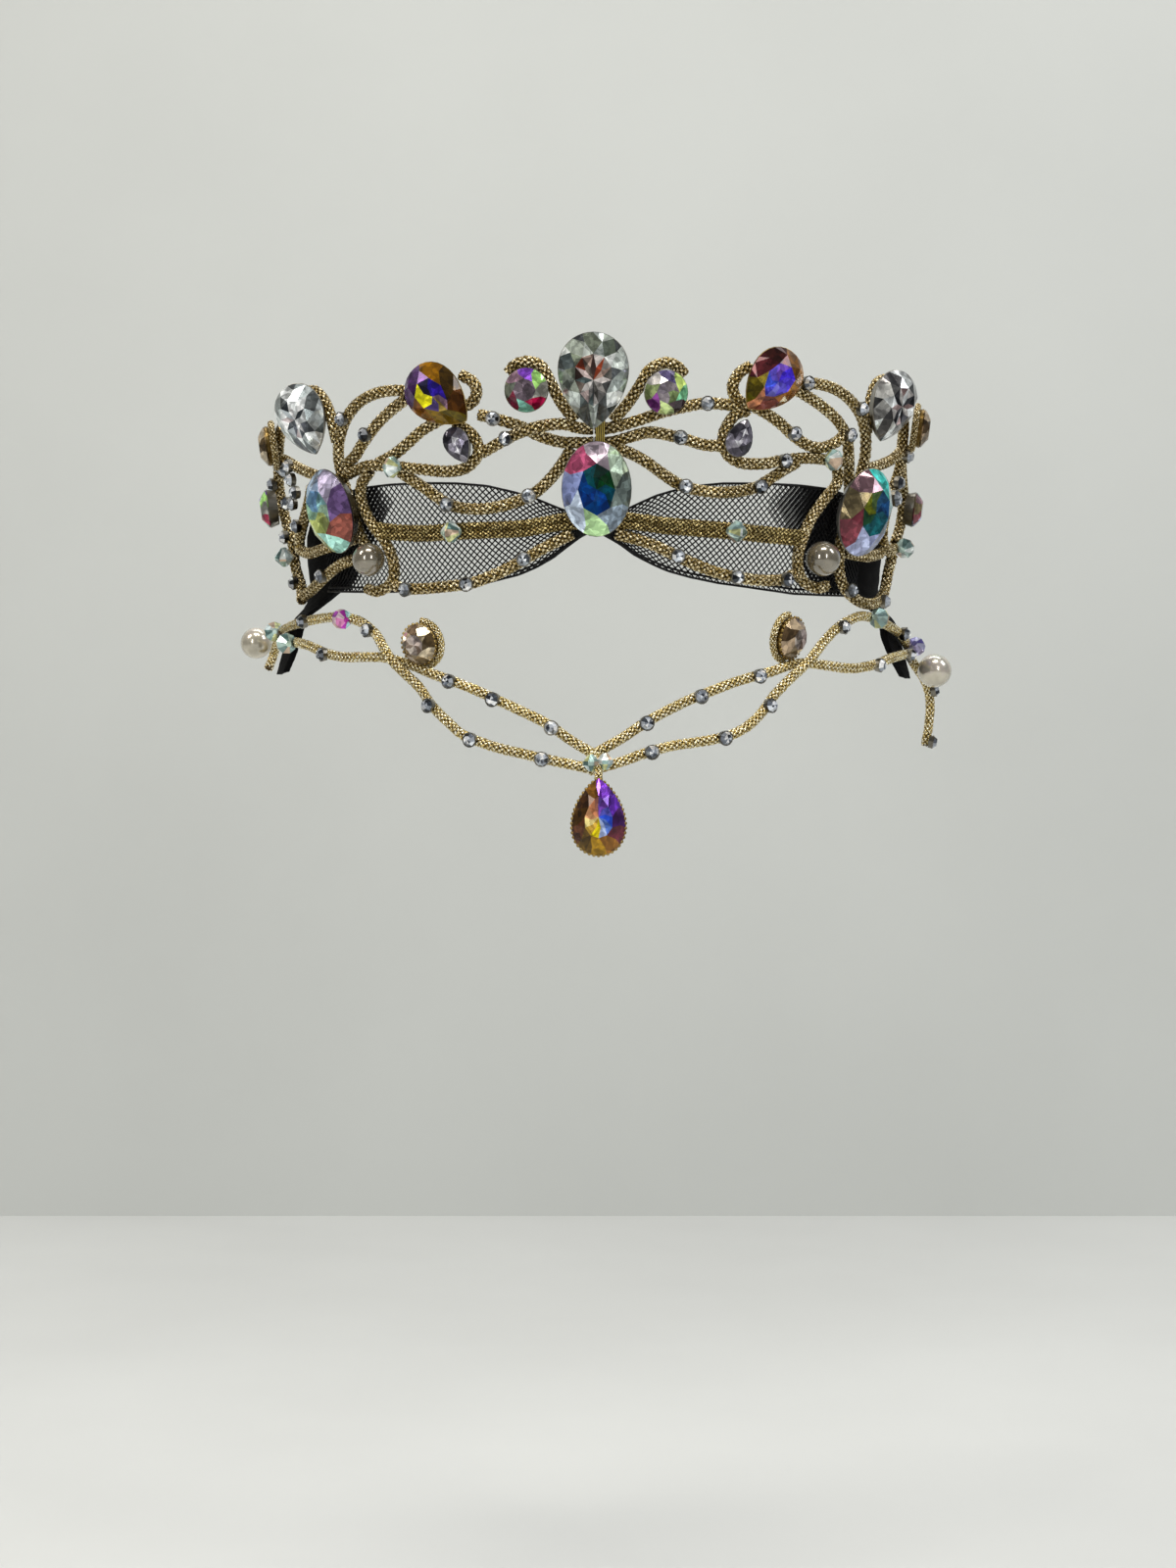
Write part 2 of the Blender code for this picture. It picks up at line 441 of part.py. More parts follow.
def wall_route(rows, side, step=CORD_STEP, rise=0.0):
    """Smooth route in metres from rows of bearing, height and lift on one side."""
    return smooth_route([on_wall(side * b, h + rise, lift) for b, h, lift in rows], step * MM)


def make_finish(name):
    """Principled material of one finish."""
    colour, roughness, metallic = FINISHES[name]
    material = bpy.data.materials.get(name)
    if material is None:
        material = bpy.data.materials.new(name)
        material.use_nodes = True
        shader = material.node_tree.nodes["Principled BSDF"]
        shader.inputs["Base Color"].default_value = (*colour, 1.0)
        shader.inputs["Roughness"].default_value = roughness
        shader.inputs["Metallic"].default_value = metallic
        material.diffuse_color = (*colour, 1.0)
    return material


def add_piece(name, mesh, finish, collection):
    """Object of the tiara with its finish."""
    piece = bpy.data.objects.new(name, mesh)
    mesh.materials.clear()
    mesh.materials.append(make_finish(finish))
    collection.objects.link(piece)
    return piece


def add_cutter(name, mesh, collection):
    """Helper shape that is not part of the tiara."""
    cutter = bpy.data.objects.new(name, mesh)
    cutter.hide_render = True
    cutter.display_type = "WIRE"
    collection.objects.link(cutter)
    return cutter


def apply_to(piece, cutter, operation):
    """Boolean of a piece with a helper shape."""
    modifier = piece.modifiers.new(f"{operation.lower()} {cutter.name}"[:60], "BOOLEAN")
    modifier.operation = operation
    modifier.solver = "EXACT"
    modifier.object = cutter


def tube_mesh(name, route, radius):
    """Closed mesh of a cord along a route, in metres, with a radius in millimetres."""
    curve = bpy.data.curves.new(name, "CURVE")
    curve.dimensions = "3D"
    curve.bevel_depth = radius * MM
    curve.bevel_resolution = CORD_BEVEL_RESOLUTION
    curve.use_fill_caps = True
    spline = curve.splines.new("POLY")
    spline.points.add(len(route) - 1)
    for point, place in zip(spline.points, route):
        point.co = (*place, 1.0)
    guide = bpy.data.objects.new(name, curve)
    bpy.context.scene.collection.objects.link(guide)
    evaluated = guide.evaluated_get(bpy.context.evaluated_depsgraph_get())
    mesh = bpy.data.meshes.new_from_object(evaluated)
    bpy.data.objects.remove(guide)
    bpy.data.curves.remove(curve)
    weld(mesh)
    return mesh


def weld(mesh):
    """Join the doubled points of a mesh and turn its faces out."""
    shape = bmesh.new()
    shape.from_mesh(mesh)
    bmesh.ops.remove_doubles(shape, verts=shape.verts, dist=0.00001)
    bmesh.ops.recalc_face_normals(shape, faces=shape.faces)
    shape.to_mesh(mesh)
    shape.free()


def outline_point(kind, angle, width, height):
    """Point of a stone's outline, with the tip of a pear at the bottom."""
    across = math.cos(angle) * width / 2.0
    along = math.sin(angle) * height / 2.0
    if kind == "pear":
        across *= PEAR_SPREAD * ((1.0 + math.sin(angle)) / 2.0) ** PEAR_TAPER
    return across, along


def ring(kind, count, turn, width, height, depth):
    """Points of an outline at a depth, in metres."""
    points = []
    for k in range(count):
        across, along = outline_point(kind, math.tau * (k + turn) / count, width, height)
        points.append(Vector((across, along, depth)) * MM)
    return points


def hull_mesh(name, points, place):
    """Closed convex mesh round points, put at a place."""
    shape = bmesh.new()
    for point in points:
        shape.verts.new(place @ point)
    made = bmesh.ops.convex_hull(shape, input=shape.verts)
    inner = [part for part in made["geom_interior"] if isinstance(part, bmesh.types.BMVert)]
    bmesh.ops.delete(shape, geom=inner, context="VERTS")
    loose = [vertex for vertex in shape.verts if not vertex.link_faces]
    bmesh.ops.delete(shape, geom=loose, context="VERTS")
    bmesh.ops.recalc_face_normals(shape, faces=shape.faces)
    mesh = bpy.data.meshes.new(name)
    shape.to_mesh(mesh)
    shape.free()
    return mesh


def setting_points(kind, width, height, grow=0.0):
    """Cup that holds a stone: a shallow tray with a rim."""
    rim = 2.0 * (SETTING_RIM + grow)
    foot_size = (SETTING_FOOT * width + rim, SETTING_FOOT * height + rim)
    foot = ring(kind, STONE_SIDES, 0.0, *foot_size, -grow)
    lip = ring(kind, STONE_SIDES, 0.0, width + rim, height + rim, SETTING_DEPTH + grow)
    return foot + lip


def glass_points(kind, width, height, depth, grow=0.0):
    """Cut stone above its setting: girdle, a ring of facets and the table."""
    wide, tall = width + 2.0 * grow, height + 2.0 * grow
    crown = depth - SETTING_DEPTH
    crown_height = SETTING_DEPTH + CROWN_RISE * crown + grow
    base = ring(kind, TABLE_SIDES, 0.0, GLASS_FOOT * width, GLASS_FOOT * height, GLASS_FOOT_HEIGHT)
    girdle = ring(kind, STONE_SIDES, 0.0, wide, tall, SETTING_DEPTH + GIRDLE_HEIGHT + grow)
    middle = ring(kind, TABLE_SIDES, 0.5, CROWN_WIDTH * wide, CROWN_WIDTH * tall, crown_height)
    table = ring(kind, TABLE_SIDES, 0.0, TABLE_WIDTH * wide, TABLE_WIDTH * tall, depth + grow)
    return base + girdle + middle + table


def stone_finish(name):
    """Finish of a stone, from its name."""
    if "amber" in name:
        return "amber_glass"
    if "brown" in name or "end_stone" in name:
        return "smoky_glass"
    if "clear" in name or "small" in name or name == "centre_pear":
        return "clear_glass"
    return "rainbow_glass"


def make_stone(row, collection, cutters):
    """Stone fused to its setting, and the space that it keeps free."""
    name, kind, width, height, depth, bearing, place_height, lift, look, turn = row
    place = placed(on_wall(bearing, place_height, lift), facing(look), turn)
    cup = setting_points(kind, width, height)
    cut = glass_points(kind, width, height, depth)
    if width < RIM_FROM_WIDTH:
        add_piece(name, hull_mesh(name, cup + cut, place), stone_finish(name), collection)
    else:
        stone = add_piece(name, hull_mesh(name, cup, place), stone_finish(name), collection)
        glass = add_cutter(f"glass_of_{name}", hull_mesh(f"glass_of_{name}", cut, place), cutters)
        apply_to(stone, glass, "UNION")
    room_points = setting_points(kind, width, height, SEWN_GAP)
    room_points += glass_points(kind, width, height, depth, SEWN_GAP)
    return add_cutter(f"room_of_{name}", hull_mesh(f"room_of_{name}", room_points, place), cutters)


def sphere_mesh(name, radius, centre):
    """Round bead with the number of sides of a meshed bead."""
    shape = bmesh.new()
    bmesh.ops.create_uvsphere(shape, u_segments=PEARL_SEGMENTS, v_segments=PEARL_RINGS,
                              radius=radius * MM, matrix=Matrix.Translation(centre))
    mesh = bpy.data.meshes.new(name)
    shape.to_mesh(mesh)
    shape.free()
    mesh.shade_smooth()
    return mesh


def make_pearl(row, collection, cutters):
    """Pearl, and the space that it keeps free."""
    name, diameter, bearing, height, lift = row
    centre = on_wall(bearing, height, lift)
    add_piece(name, sphere_mesh(name, diameter / 2.0, centre), "pearl", collection)
    room = sphere_mesh(f"room_of_{name}", diameter / 2.0 + SEWN_GAP, centre)
    return add_cutter(f"room_of_{name}", room, cutters)


def chaton_mesh(name, centre, outward, grow=0.0):
    """Small round stone in its cup."""
    place = placed(centre, outward)
    width = CHATON_DIAMETER + 2.0 * grow
    points = []
    for share, height, turn, growth in CHATON_PROFILE:
        points += ring("oval", TABLE_SIDES, turn, share * width, share * width, height + growth * grow)
    return hull_mesh(name, points, place)


def bead_mesh(name, centre, along, radius, half_length, waist):
    """Cut bead: two cones base to base, with a narrow or a wide waist."""
    place = placed(centre, along)
    wide, narrow = 2.0 * radius, 2.0 * BEAD_END_WIDTH * radius
    points = []
    for width, height in ((narrow, -half_length), (wide, -waist), (wide, waist), (narrow, half_length)):
        points += ring("oval", BEAD_SIDES, 0.0, width, width, height)
    return hull_mesh(name, points, place)


def merged(name, meshes):
    """One mesh that holds several."""
    shape = bmesh.new()
    for mesh in meshes:
        shape.from_mesh(mesh)
        bpy.data.meshes.remove(mesh)
    mesh = bpy.data.meshes.new(name)
    shape.to_mesh(mesh)
    shape.free()
    return mesh


def nearest_place(route, wanted):
    """Point of a route nearest to a place, and the route's direction there."""
    best = None
    for start, end in zip(route, route[1:]):
        run = end - start
        share = max(0.0, min(1.0, (wanted - start).dot(run) / run.length_squared))
        place = start.lerp(end, share)
        if best is None or (place - wanted).length < (best[0] - wanted).length:
            best = (place, run.normalized())
    return best


def trims_on(route, trims, side, radius, name, grow=0.0):
    """Stones and beads that are sewn on one cord, as one mesh."""
    shapes = []
    for number, (kind, bearing, height) in enumerate(trims):
        place, along = nearest_place(route, on_wall(side * bearing, height, 0.0))
        outward = facing(side * bearing)
        outward = (outward - along * outward.dot(along)).normalized()
        label = f"{name}_{number}"
        if kind == "chaton":
            foot = place + outward * (radius - CHATON_SINK) * MM
            shapes.append(chaton_mesh(label, foot, outward, grow))
        else:
            half_width, half_length, waist, seat = BEADS[kind]
            centre = place + outward * (radius + seat) * MM
            shapes.append(bead_mesh(label, centre, along, half_width + grow, half_length + grow, waist))
    return merged(name, shapes)


def nearest(route_a, route_b):
    """Least distance between two routes, taken from the points of each."""
    gaps = [(nearest_place(route_a, point)[0] - point).length for point in route_b]
    gaps += [(nearest_place(route_b, point)[0] - point).length for point in route_a]
    return min(gaps)


class Cords:
    """Cords in the order in which they are laid. Each later one is trimmed where it meets an earlier."""

    def __init__(self, collection, cutters, rooms):
        self.collection = collection
        self.cutters = cutters
        self.rooms = rooms
        self.laid = []

    def lay(self, name, routes, radius, finish, trims=None, trims_room=None):
        """Make a cord from one route, or from several that are one solid."""
        piece = add_piece(name, tube_mesh(name, routes[0], radius), finish, self.collection)
        for number, route in enumerate(routes[1:]):
            twin = add_cutter(f"twin_of_{name}_{number}", tube_mesh(name, route, radius), self.cutters)
            apply_to(piece, twin, "UNION")
        for other, other_routes, other_radius in self.laid:
            for number, other_route in enumerate(other_routes):
                reach = (radius + other_radius + 2.0 * SEWN_GAP) * MM
                if min(nearest(other_route, route) for route in routes) < reach:
                    apply_to(piece, self.room_of(other, number, other_route, other_radius), "DIFFERENCE")
        for room in self.rooms:
            if meets(routes, room):
                apply_to(piece, room, "DIFFERENCE")
        if trims:
            apply_to(piece, add_cutter(f"trims_of_{name}", trims, self.cutters), "UNION")
            room = add_cutter(f"room_of_trims_of_{name}", trims_room, self.cutters)
            for other, other_routes, other_radius in self.laid:
                if meets(other_routes, room):
                    apply_to(self.collection.objects[other], room, "DIFFERENCE")
            self.rooms.append(room)
        self.laid.append((name, routes, radius))

    def room_of(self, name, number, route, radius):
        """Space that a laid cord keeps free, also past its ends."""
        label = f"room_of_{name}_{number}"
        room = bpy.data.objects.get(label)
        if room is None:
            first = route[0] + (route[0] - route[1]).normalized() * SEWN_GAP * MM
            last = route[-1] + (route[-1] - route[-2]).normalized() * SEWN_GAP * MM
            longer = [first] + route[1:-1] + [last]
            room = add_cutter(label, tube_mesh(label, longer, radius + SEWN_GAP), self.cutters)
        return room


def meets(routes, room):
    """Whether a cord's route comes near the bodies of a helper shape."""
    margin = (CORD_RADIUS + SEWN_GAP) * MM
    points = [room.matrix_world @ vertex.co for vertex in room.data.vertices]
    return any((nearest_place(route, point)[0] - point).length < margin
               for route in routes for point in points)


def side_trims(table, cord):
    """Rows of a trim table that belong to one cord."""
    return [row[1:] for row in table if row[0] == cord]


def make_side_cords(cords, side, label, table, trims):
    """Scrolls of one side of the tiara."""
    for cord, rows in table.items():
        if cord in BRANCH_OF:
            continue
        name = f"{label}_{cord}"
        parts = [cord] + [branch for branch, stem in BRANCH_OF.items() if stem == cord]
        routes = [wall_route(table[key], side) for key in parts]
        helpers = []
        for grow in (0.0, SEWN_GAP):
            shapes = [trims_on(route, side_trims(trims, key), side, CORD_RADIUS, name, grow)
                      for key, route in zip(parts, routes)]
            helpers.append(merged(name, shapes))
        if not helpers[0].vertices:
            helpers = [None, None]
        cords.lay(name, routes, CORD_RADIUS, "gold_cord", *helpers)


def make_middle_pair(cords, side, label):
    """Two thin cords side by side with a bead on them."""
    rows = MIDDLE_PAIRS[side]
    routes = [wall_route(rows, side, CORD_STEP, rise) for rise in (PAIR_HALF_PITCH, -PAIR_HALF_PITCH)]
    name = f"{label}_middle_pair"
    helpers = [trims_on(wall_route(rows, side), [MIDDLE_BEAD], side, PAIR_CORD_RADIUS, name, grow)
               for grow in (0.0, SEWN_GAP)]
    cords.lay(name, routes, PAIR_CORD_RADIUS, "gold_cord", *helpers)


def make_drape(cords, side, label, trims):
    """Two cords of the forehead drape on one side."""
    for cord, rows in DRAPE_CORDS[side].items():
        name = f"{label}_{cord}"
        route = wall_route(rows, side)
        helpers = [trims_on(route, side_trims(trims, cord), side, DRAPE_CORD_RADIUS, name, grow)
                   for grow in (0.0, SEWN_GAP)]
        cords.lay(name, [route], DRAPE_CORD_RADIUS, "drape_cord", *helpers)


def make_drop(collection, cutters):
    """Pear drop under two beads, fused with the neck of its setting."""
    width, height, depth = DROP_SIZE
    half_turn = 180.0
    place = placed(on_wall(DROP_BEARING, DROP_HEIGHT, DROP_LIFT), facing(0.0, down=0.0), half_turn)
    drop = add_piece("drop", hull_mesh("drop", setting_points("pear", width, height), place),
                     "amber_glass", collection)
    glass = add_cutter("glass_of_drop", hull_mesh("glass_of_drop",
                       glass_points("pear", width, height, depth), place), cutters)
    apply_to(drop, glass, "UNION")
    beads = [on_wall(bearing, bead_height, lift) for bearing, bead_height, lift in DROP_BEADS]
    for centre in beads:
        shape = bead_mesh("drop_bead", centre, Vector((0.0, 0.0, 1.0)), *DROP_BEAD)
        apply_to(drop, add_cutter("drop_bead", shape, cutters), "UNION")
    top = (beads[0] + beads[1]) / 2.0
    foot_height = DROP_HEIGHT + height / 2.0 - DROP_NECK_SINK
    foot = on_wall(DROP_BEARING, foot_height, DROP_LIFT + DROP_NECK_LIFT)
    neck = tube_mesh("drop_neck", [top, top.lerp(foot, 0.5), foot], DROP_NECK_RADIUS)
    apply_to(drop, add_cutter("drop_neck", neck, cutters), "UNION")


def sheet_mesh(name, rows):
    """Front of a cloth from rows of points, with its faces turned outwards."""
    shape = bmesh.new()
    grid = [[shape.verts.new(point) for point in row] for row in rows]
    for row, following in zip(grid, grid[1:]):
        for k in range(len(row) - 1):
            shape.faces.new((row[k], row[k + 1], following[k + 1], following[k]))
    bmesh.ops.recalc_face_normals(shape, faces=shape.faces)
    middle = sum((face.calc_center_median() for face in shape.faces), Vector()) / len(shape.faces)
    facing_out = sum((face.normal for face in shape.faces), Vector())
    if facing_out.dot(Vector((middle.x, middle.y, 0.0))) < 0.0:
        bmesh.ops.reverse_faces(shape, faces=shape.faces)
    mesh = bpy.data.meshes.new(name)
    shape.to_mesh(mesh)
    shape.free()
    return mesh


def thicken(piece, thickness):
    """Give an open sheet its thickness, inwards."""
    solid = piece.modifiers.new("thickness", "SOLIDIFY")
    solid.thickness = thickness * MM
    solid.offset = -1.0
    solid.use_even_offset = True


def make_net(side, label, collection):
    """Half of the net band, gathered to a knot behind the middle stone."""
    rows = []
    for bearing, top, bottom in NET_SECTIONS[side]:
        rows.append([on_wall(side * bearing, bottom + (top - bottom) * k / NET_STRIPS, NET_FRONT_LIFT)
                     for k in range(NET_STRIPS + 1)])
    piece = add_piece(f"{label}_net", sheet_mesh(f"{label}_net", rows), "net", collection)
    thicken(piece, NET_THICKNESS)


def make_velvet(side, label, collection):
    """Velvet tab at the end of the net, which carries the drape."""
    rows = []
    for height, inner, outer, lift in VELVET_SECTIONS[side]:
        rows.append([on_wall(side * (inner + (outer - inner) * k / VELVET_STRIPS), height, lift)
                     for k in range(VELVET_STRIPS + 1)])
    name = f"{label}_velvet_tab"
    piece = add_piece(name, sheet_mesh(name, rows), "velvet", collection)
    thicken(piece, VELVET_THICKNESS)


def make_binding(collection, cords):
    """Thread wound round the strands where the two sides meet."""
    width, height, depth = BINDING_SIZE
    place = placed(on_wall(BINDING_BEARING, BINDING_HEIGHT, 0.0), facing(BINDING_BEARING))
    points = []
    for across in (-0.5, 0.5):
        for along, deep in BINDING_PROFILE:
            points.append(Vector((across * width, along * height, deep * depth)) * MM)
    binding = add_piece("thread_binding", hull_mesh("thread_binding", points, place), "thread", collection)
    for name, routes, radius in cords.laid:
        distance = (nearest_place(routes[0], place.translation)[0] - place.translation).length
        if distance < BINDING_REACH * MM:
            apply_to(binding, cords.room_of(name, 0, routes[0], radius), "DIFFERENCE")


def clear_scene():
    """Remove what the scene holds."""
    for thing in list(bpy.data.objects):
        bpy.data.objects.remove(thing)


def build():
    """Make the tiara."""
    clear_scene()
    collection = bpy.data.collections.new("ballet_tiara")
    cutters = bpy.data.collections.new("helpers")
    for group in (collection, cutters):
        bpy.context.scene.collection.children.link(group)
    rooms = [make_stone(row, collection, cutters) for row in STONES]
    rooms += [make_pearl(row, collection, cutters) for row in PEARLS]
    cords = Cords(collection, cutters, rooms)
    make_side_cords(cords, LEFT, "left", LEFT_CORDS, LEFT_TRIMS)
    make_side_cords(cords, RIGHT, "right", RIGHT_CORDS, RIGHT_TRIMS)
    make_binding(collection, cords)
    for side, label, trims in ((LEFT, "left", LEFT_DRAPE_TRIMS), (RIGHT, "right", RIGHT_DRAPE_TRIMS)):
        make_middle_pair(cords, side, label)
        make_drape(cords, side, label, trims)
        make_net(side, label, collection)
        make_velvet(side, label, collection)
    make_drop(collection, cutters)


build()
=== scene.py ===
"""Looks of a ballet tiara of gold braided cord, cut glass stones and black net.

The front looks towards -Y, +X is on the right of someone who looks at the front, and +Z is up.
Every place is on an oval wall: a bearing from the middle of the front in degrees, a height and a
lift off the wall in millimetres.
"""
import math
import random

import bmesh
import bpy
from bpy.props import FloatProperty, FloatVectorProperty, IntProperty, PointerProperty
from mathutils import Matrix, Vector


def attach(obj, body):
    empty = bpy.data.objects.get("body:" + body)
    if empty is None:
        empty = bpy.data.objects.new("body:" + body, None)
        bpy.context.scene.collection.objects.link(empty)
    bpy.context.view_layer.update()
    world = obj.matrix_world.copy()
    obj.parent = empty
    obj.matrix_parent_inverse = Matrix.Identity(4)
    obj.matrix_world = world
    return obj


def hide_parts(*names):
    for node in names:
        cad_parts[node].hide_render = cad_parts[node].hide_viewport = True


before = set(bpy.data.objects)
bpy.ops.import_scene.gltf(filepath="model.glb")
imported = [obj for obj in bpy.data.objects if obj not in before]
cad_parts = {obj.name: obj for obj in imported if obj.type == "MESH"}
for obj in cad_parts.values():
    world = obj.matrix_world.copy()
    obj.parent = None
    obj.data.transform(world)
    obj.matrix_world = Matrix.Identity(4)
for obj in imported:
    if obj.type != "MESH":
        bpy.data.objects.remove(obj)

bl_info = {
    "name": "Ballet tiara",
    "version": (1, 0, 0),
    "blender": (4, 5, 0),
    "location": "3D View > Sidebar > Tiara",
    "description": "Braided gold cord, cut glass stones, pearls, net and velvet of a ballet tiara",
    "category": "Object",
}

MM = 0.001

# Oval wall on which the cords lie, in millimetres, and how far stones look down from level, in degrees
WALL_HALF_WIDTH = 67.0
WALL_HALF_DEPTH = 78.0
BAND_FLARE = 0.17
BROW_FLARE = 0.27
FACE_DOWN = -8.0

# Cords. The sinking of the core is in radii of a yarn
CORD_RADIUS = 1.15
PAIR_CORD_RADIUS = 0.9
PAIR_HALF_PITCH = 0.75
DRAPE_CORD_RADIUS = 1.0
CURVE_STEPS = 12
YARN_SIDES = 4
CORE_SIDES = 8
CORE_SINK = 1.25

# Settings and glass, as shares of the glass's size or in millimetres
SETTING_RIM = 0.35
SETTING_DEPTH = 1.9
SETTING_FOOT = 0.86
BRIM_GAP = 0.1
BRIM_RISE = 0.12
GLASS_LAP = 0.5
GLASS_LIP = 0.3
BREAK_HEIGHT = 0.62
BACK_WIDTH = 0.5
BACK_SINK = 0.03
CENTRE_SINK = 0.02
PEAR_TAPER = 0.3
PEAR_SPREAD = 1.19

# How many facets the colours of clear glass are shifted by, and darkest and lightest share of a colour, given
# at random to each corner of a facet as painted reflection
CRYSTAL_SHIFT = 3
CRYSTAL_CONTRAST = (0.45, 1.6)
COLOUR_CONTRAST = (0.6, 1.35)
BEAD_CONTRAST = (0.7, 1.25)
UNCUT_GREY = (0.5, 0.5, 0.5, 1.0)

# Small round stones. Radii and depths of cup and glass are shares of the diameter
CHATON_DIAMETER = 3.0
CHATON_SINK = 0.45
SMALL_STONE_SHARES = {"rim": 0.5, "foot": 0.45, "cup": 0.36, "girdle": 0.44, "table": 0.27, "crown": 0.26}
SMALL_STONE_SEED = 7

# Beads on a cord. Columns: half width, half length, half height of the waist, seat off the cord
BEADS = {"bicone": (2.2, 2.0, 0.25, 1.0), "rose bead": (2.0, 1.7, 0.7, 0.9),
         "blue bead": (2.0, 1.7, 0.7, 0.9)}
BEAD_FACETS = 9
BEAD_END = 0.6
BEAD_SEED = 20

# Studs round a stone
STUD_RADIUS = 0.36
STUD_SPACING = 0.95
STUD_RISE = 0.1
STUD_LINE_GAP = 0.5
STUD_LINE_POINTS = 48

LEFT, RIGHT = -1, 1
SIDES = ((LEFT, "left"), (RIGHT, "right"))

# Cords that are one solid with the cord from which they branch
BRANCH_OF = {"pear_loop": "tall_arch", "side_arm": "edge_scroll"}

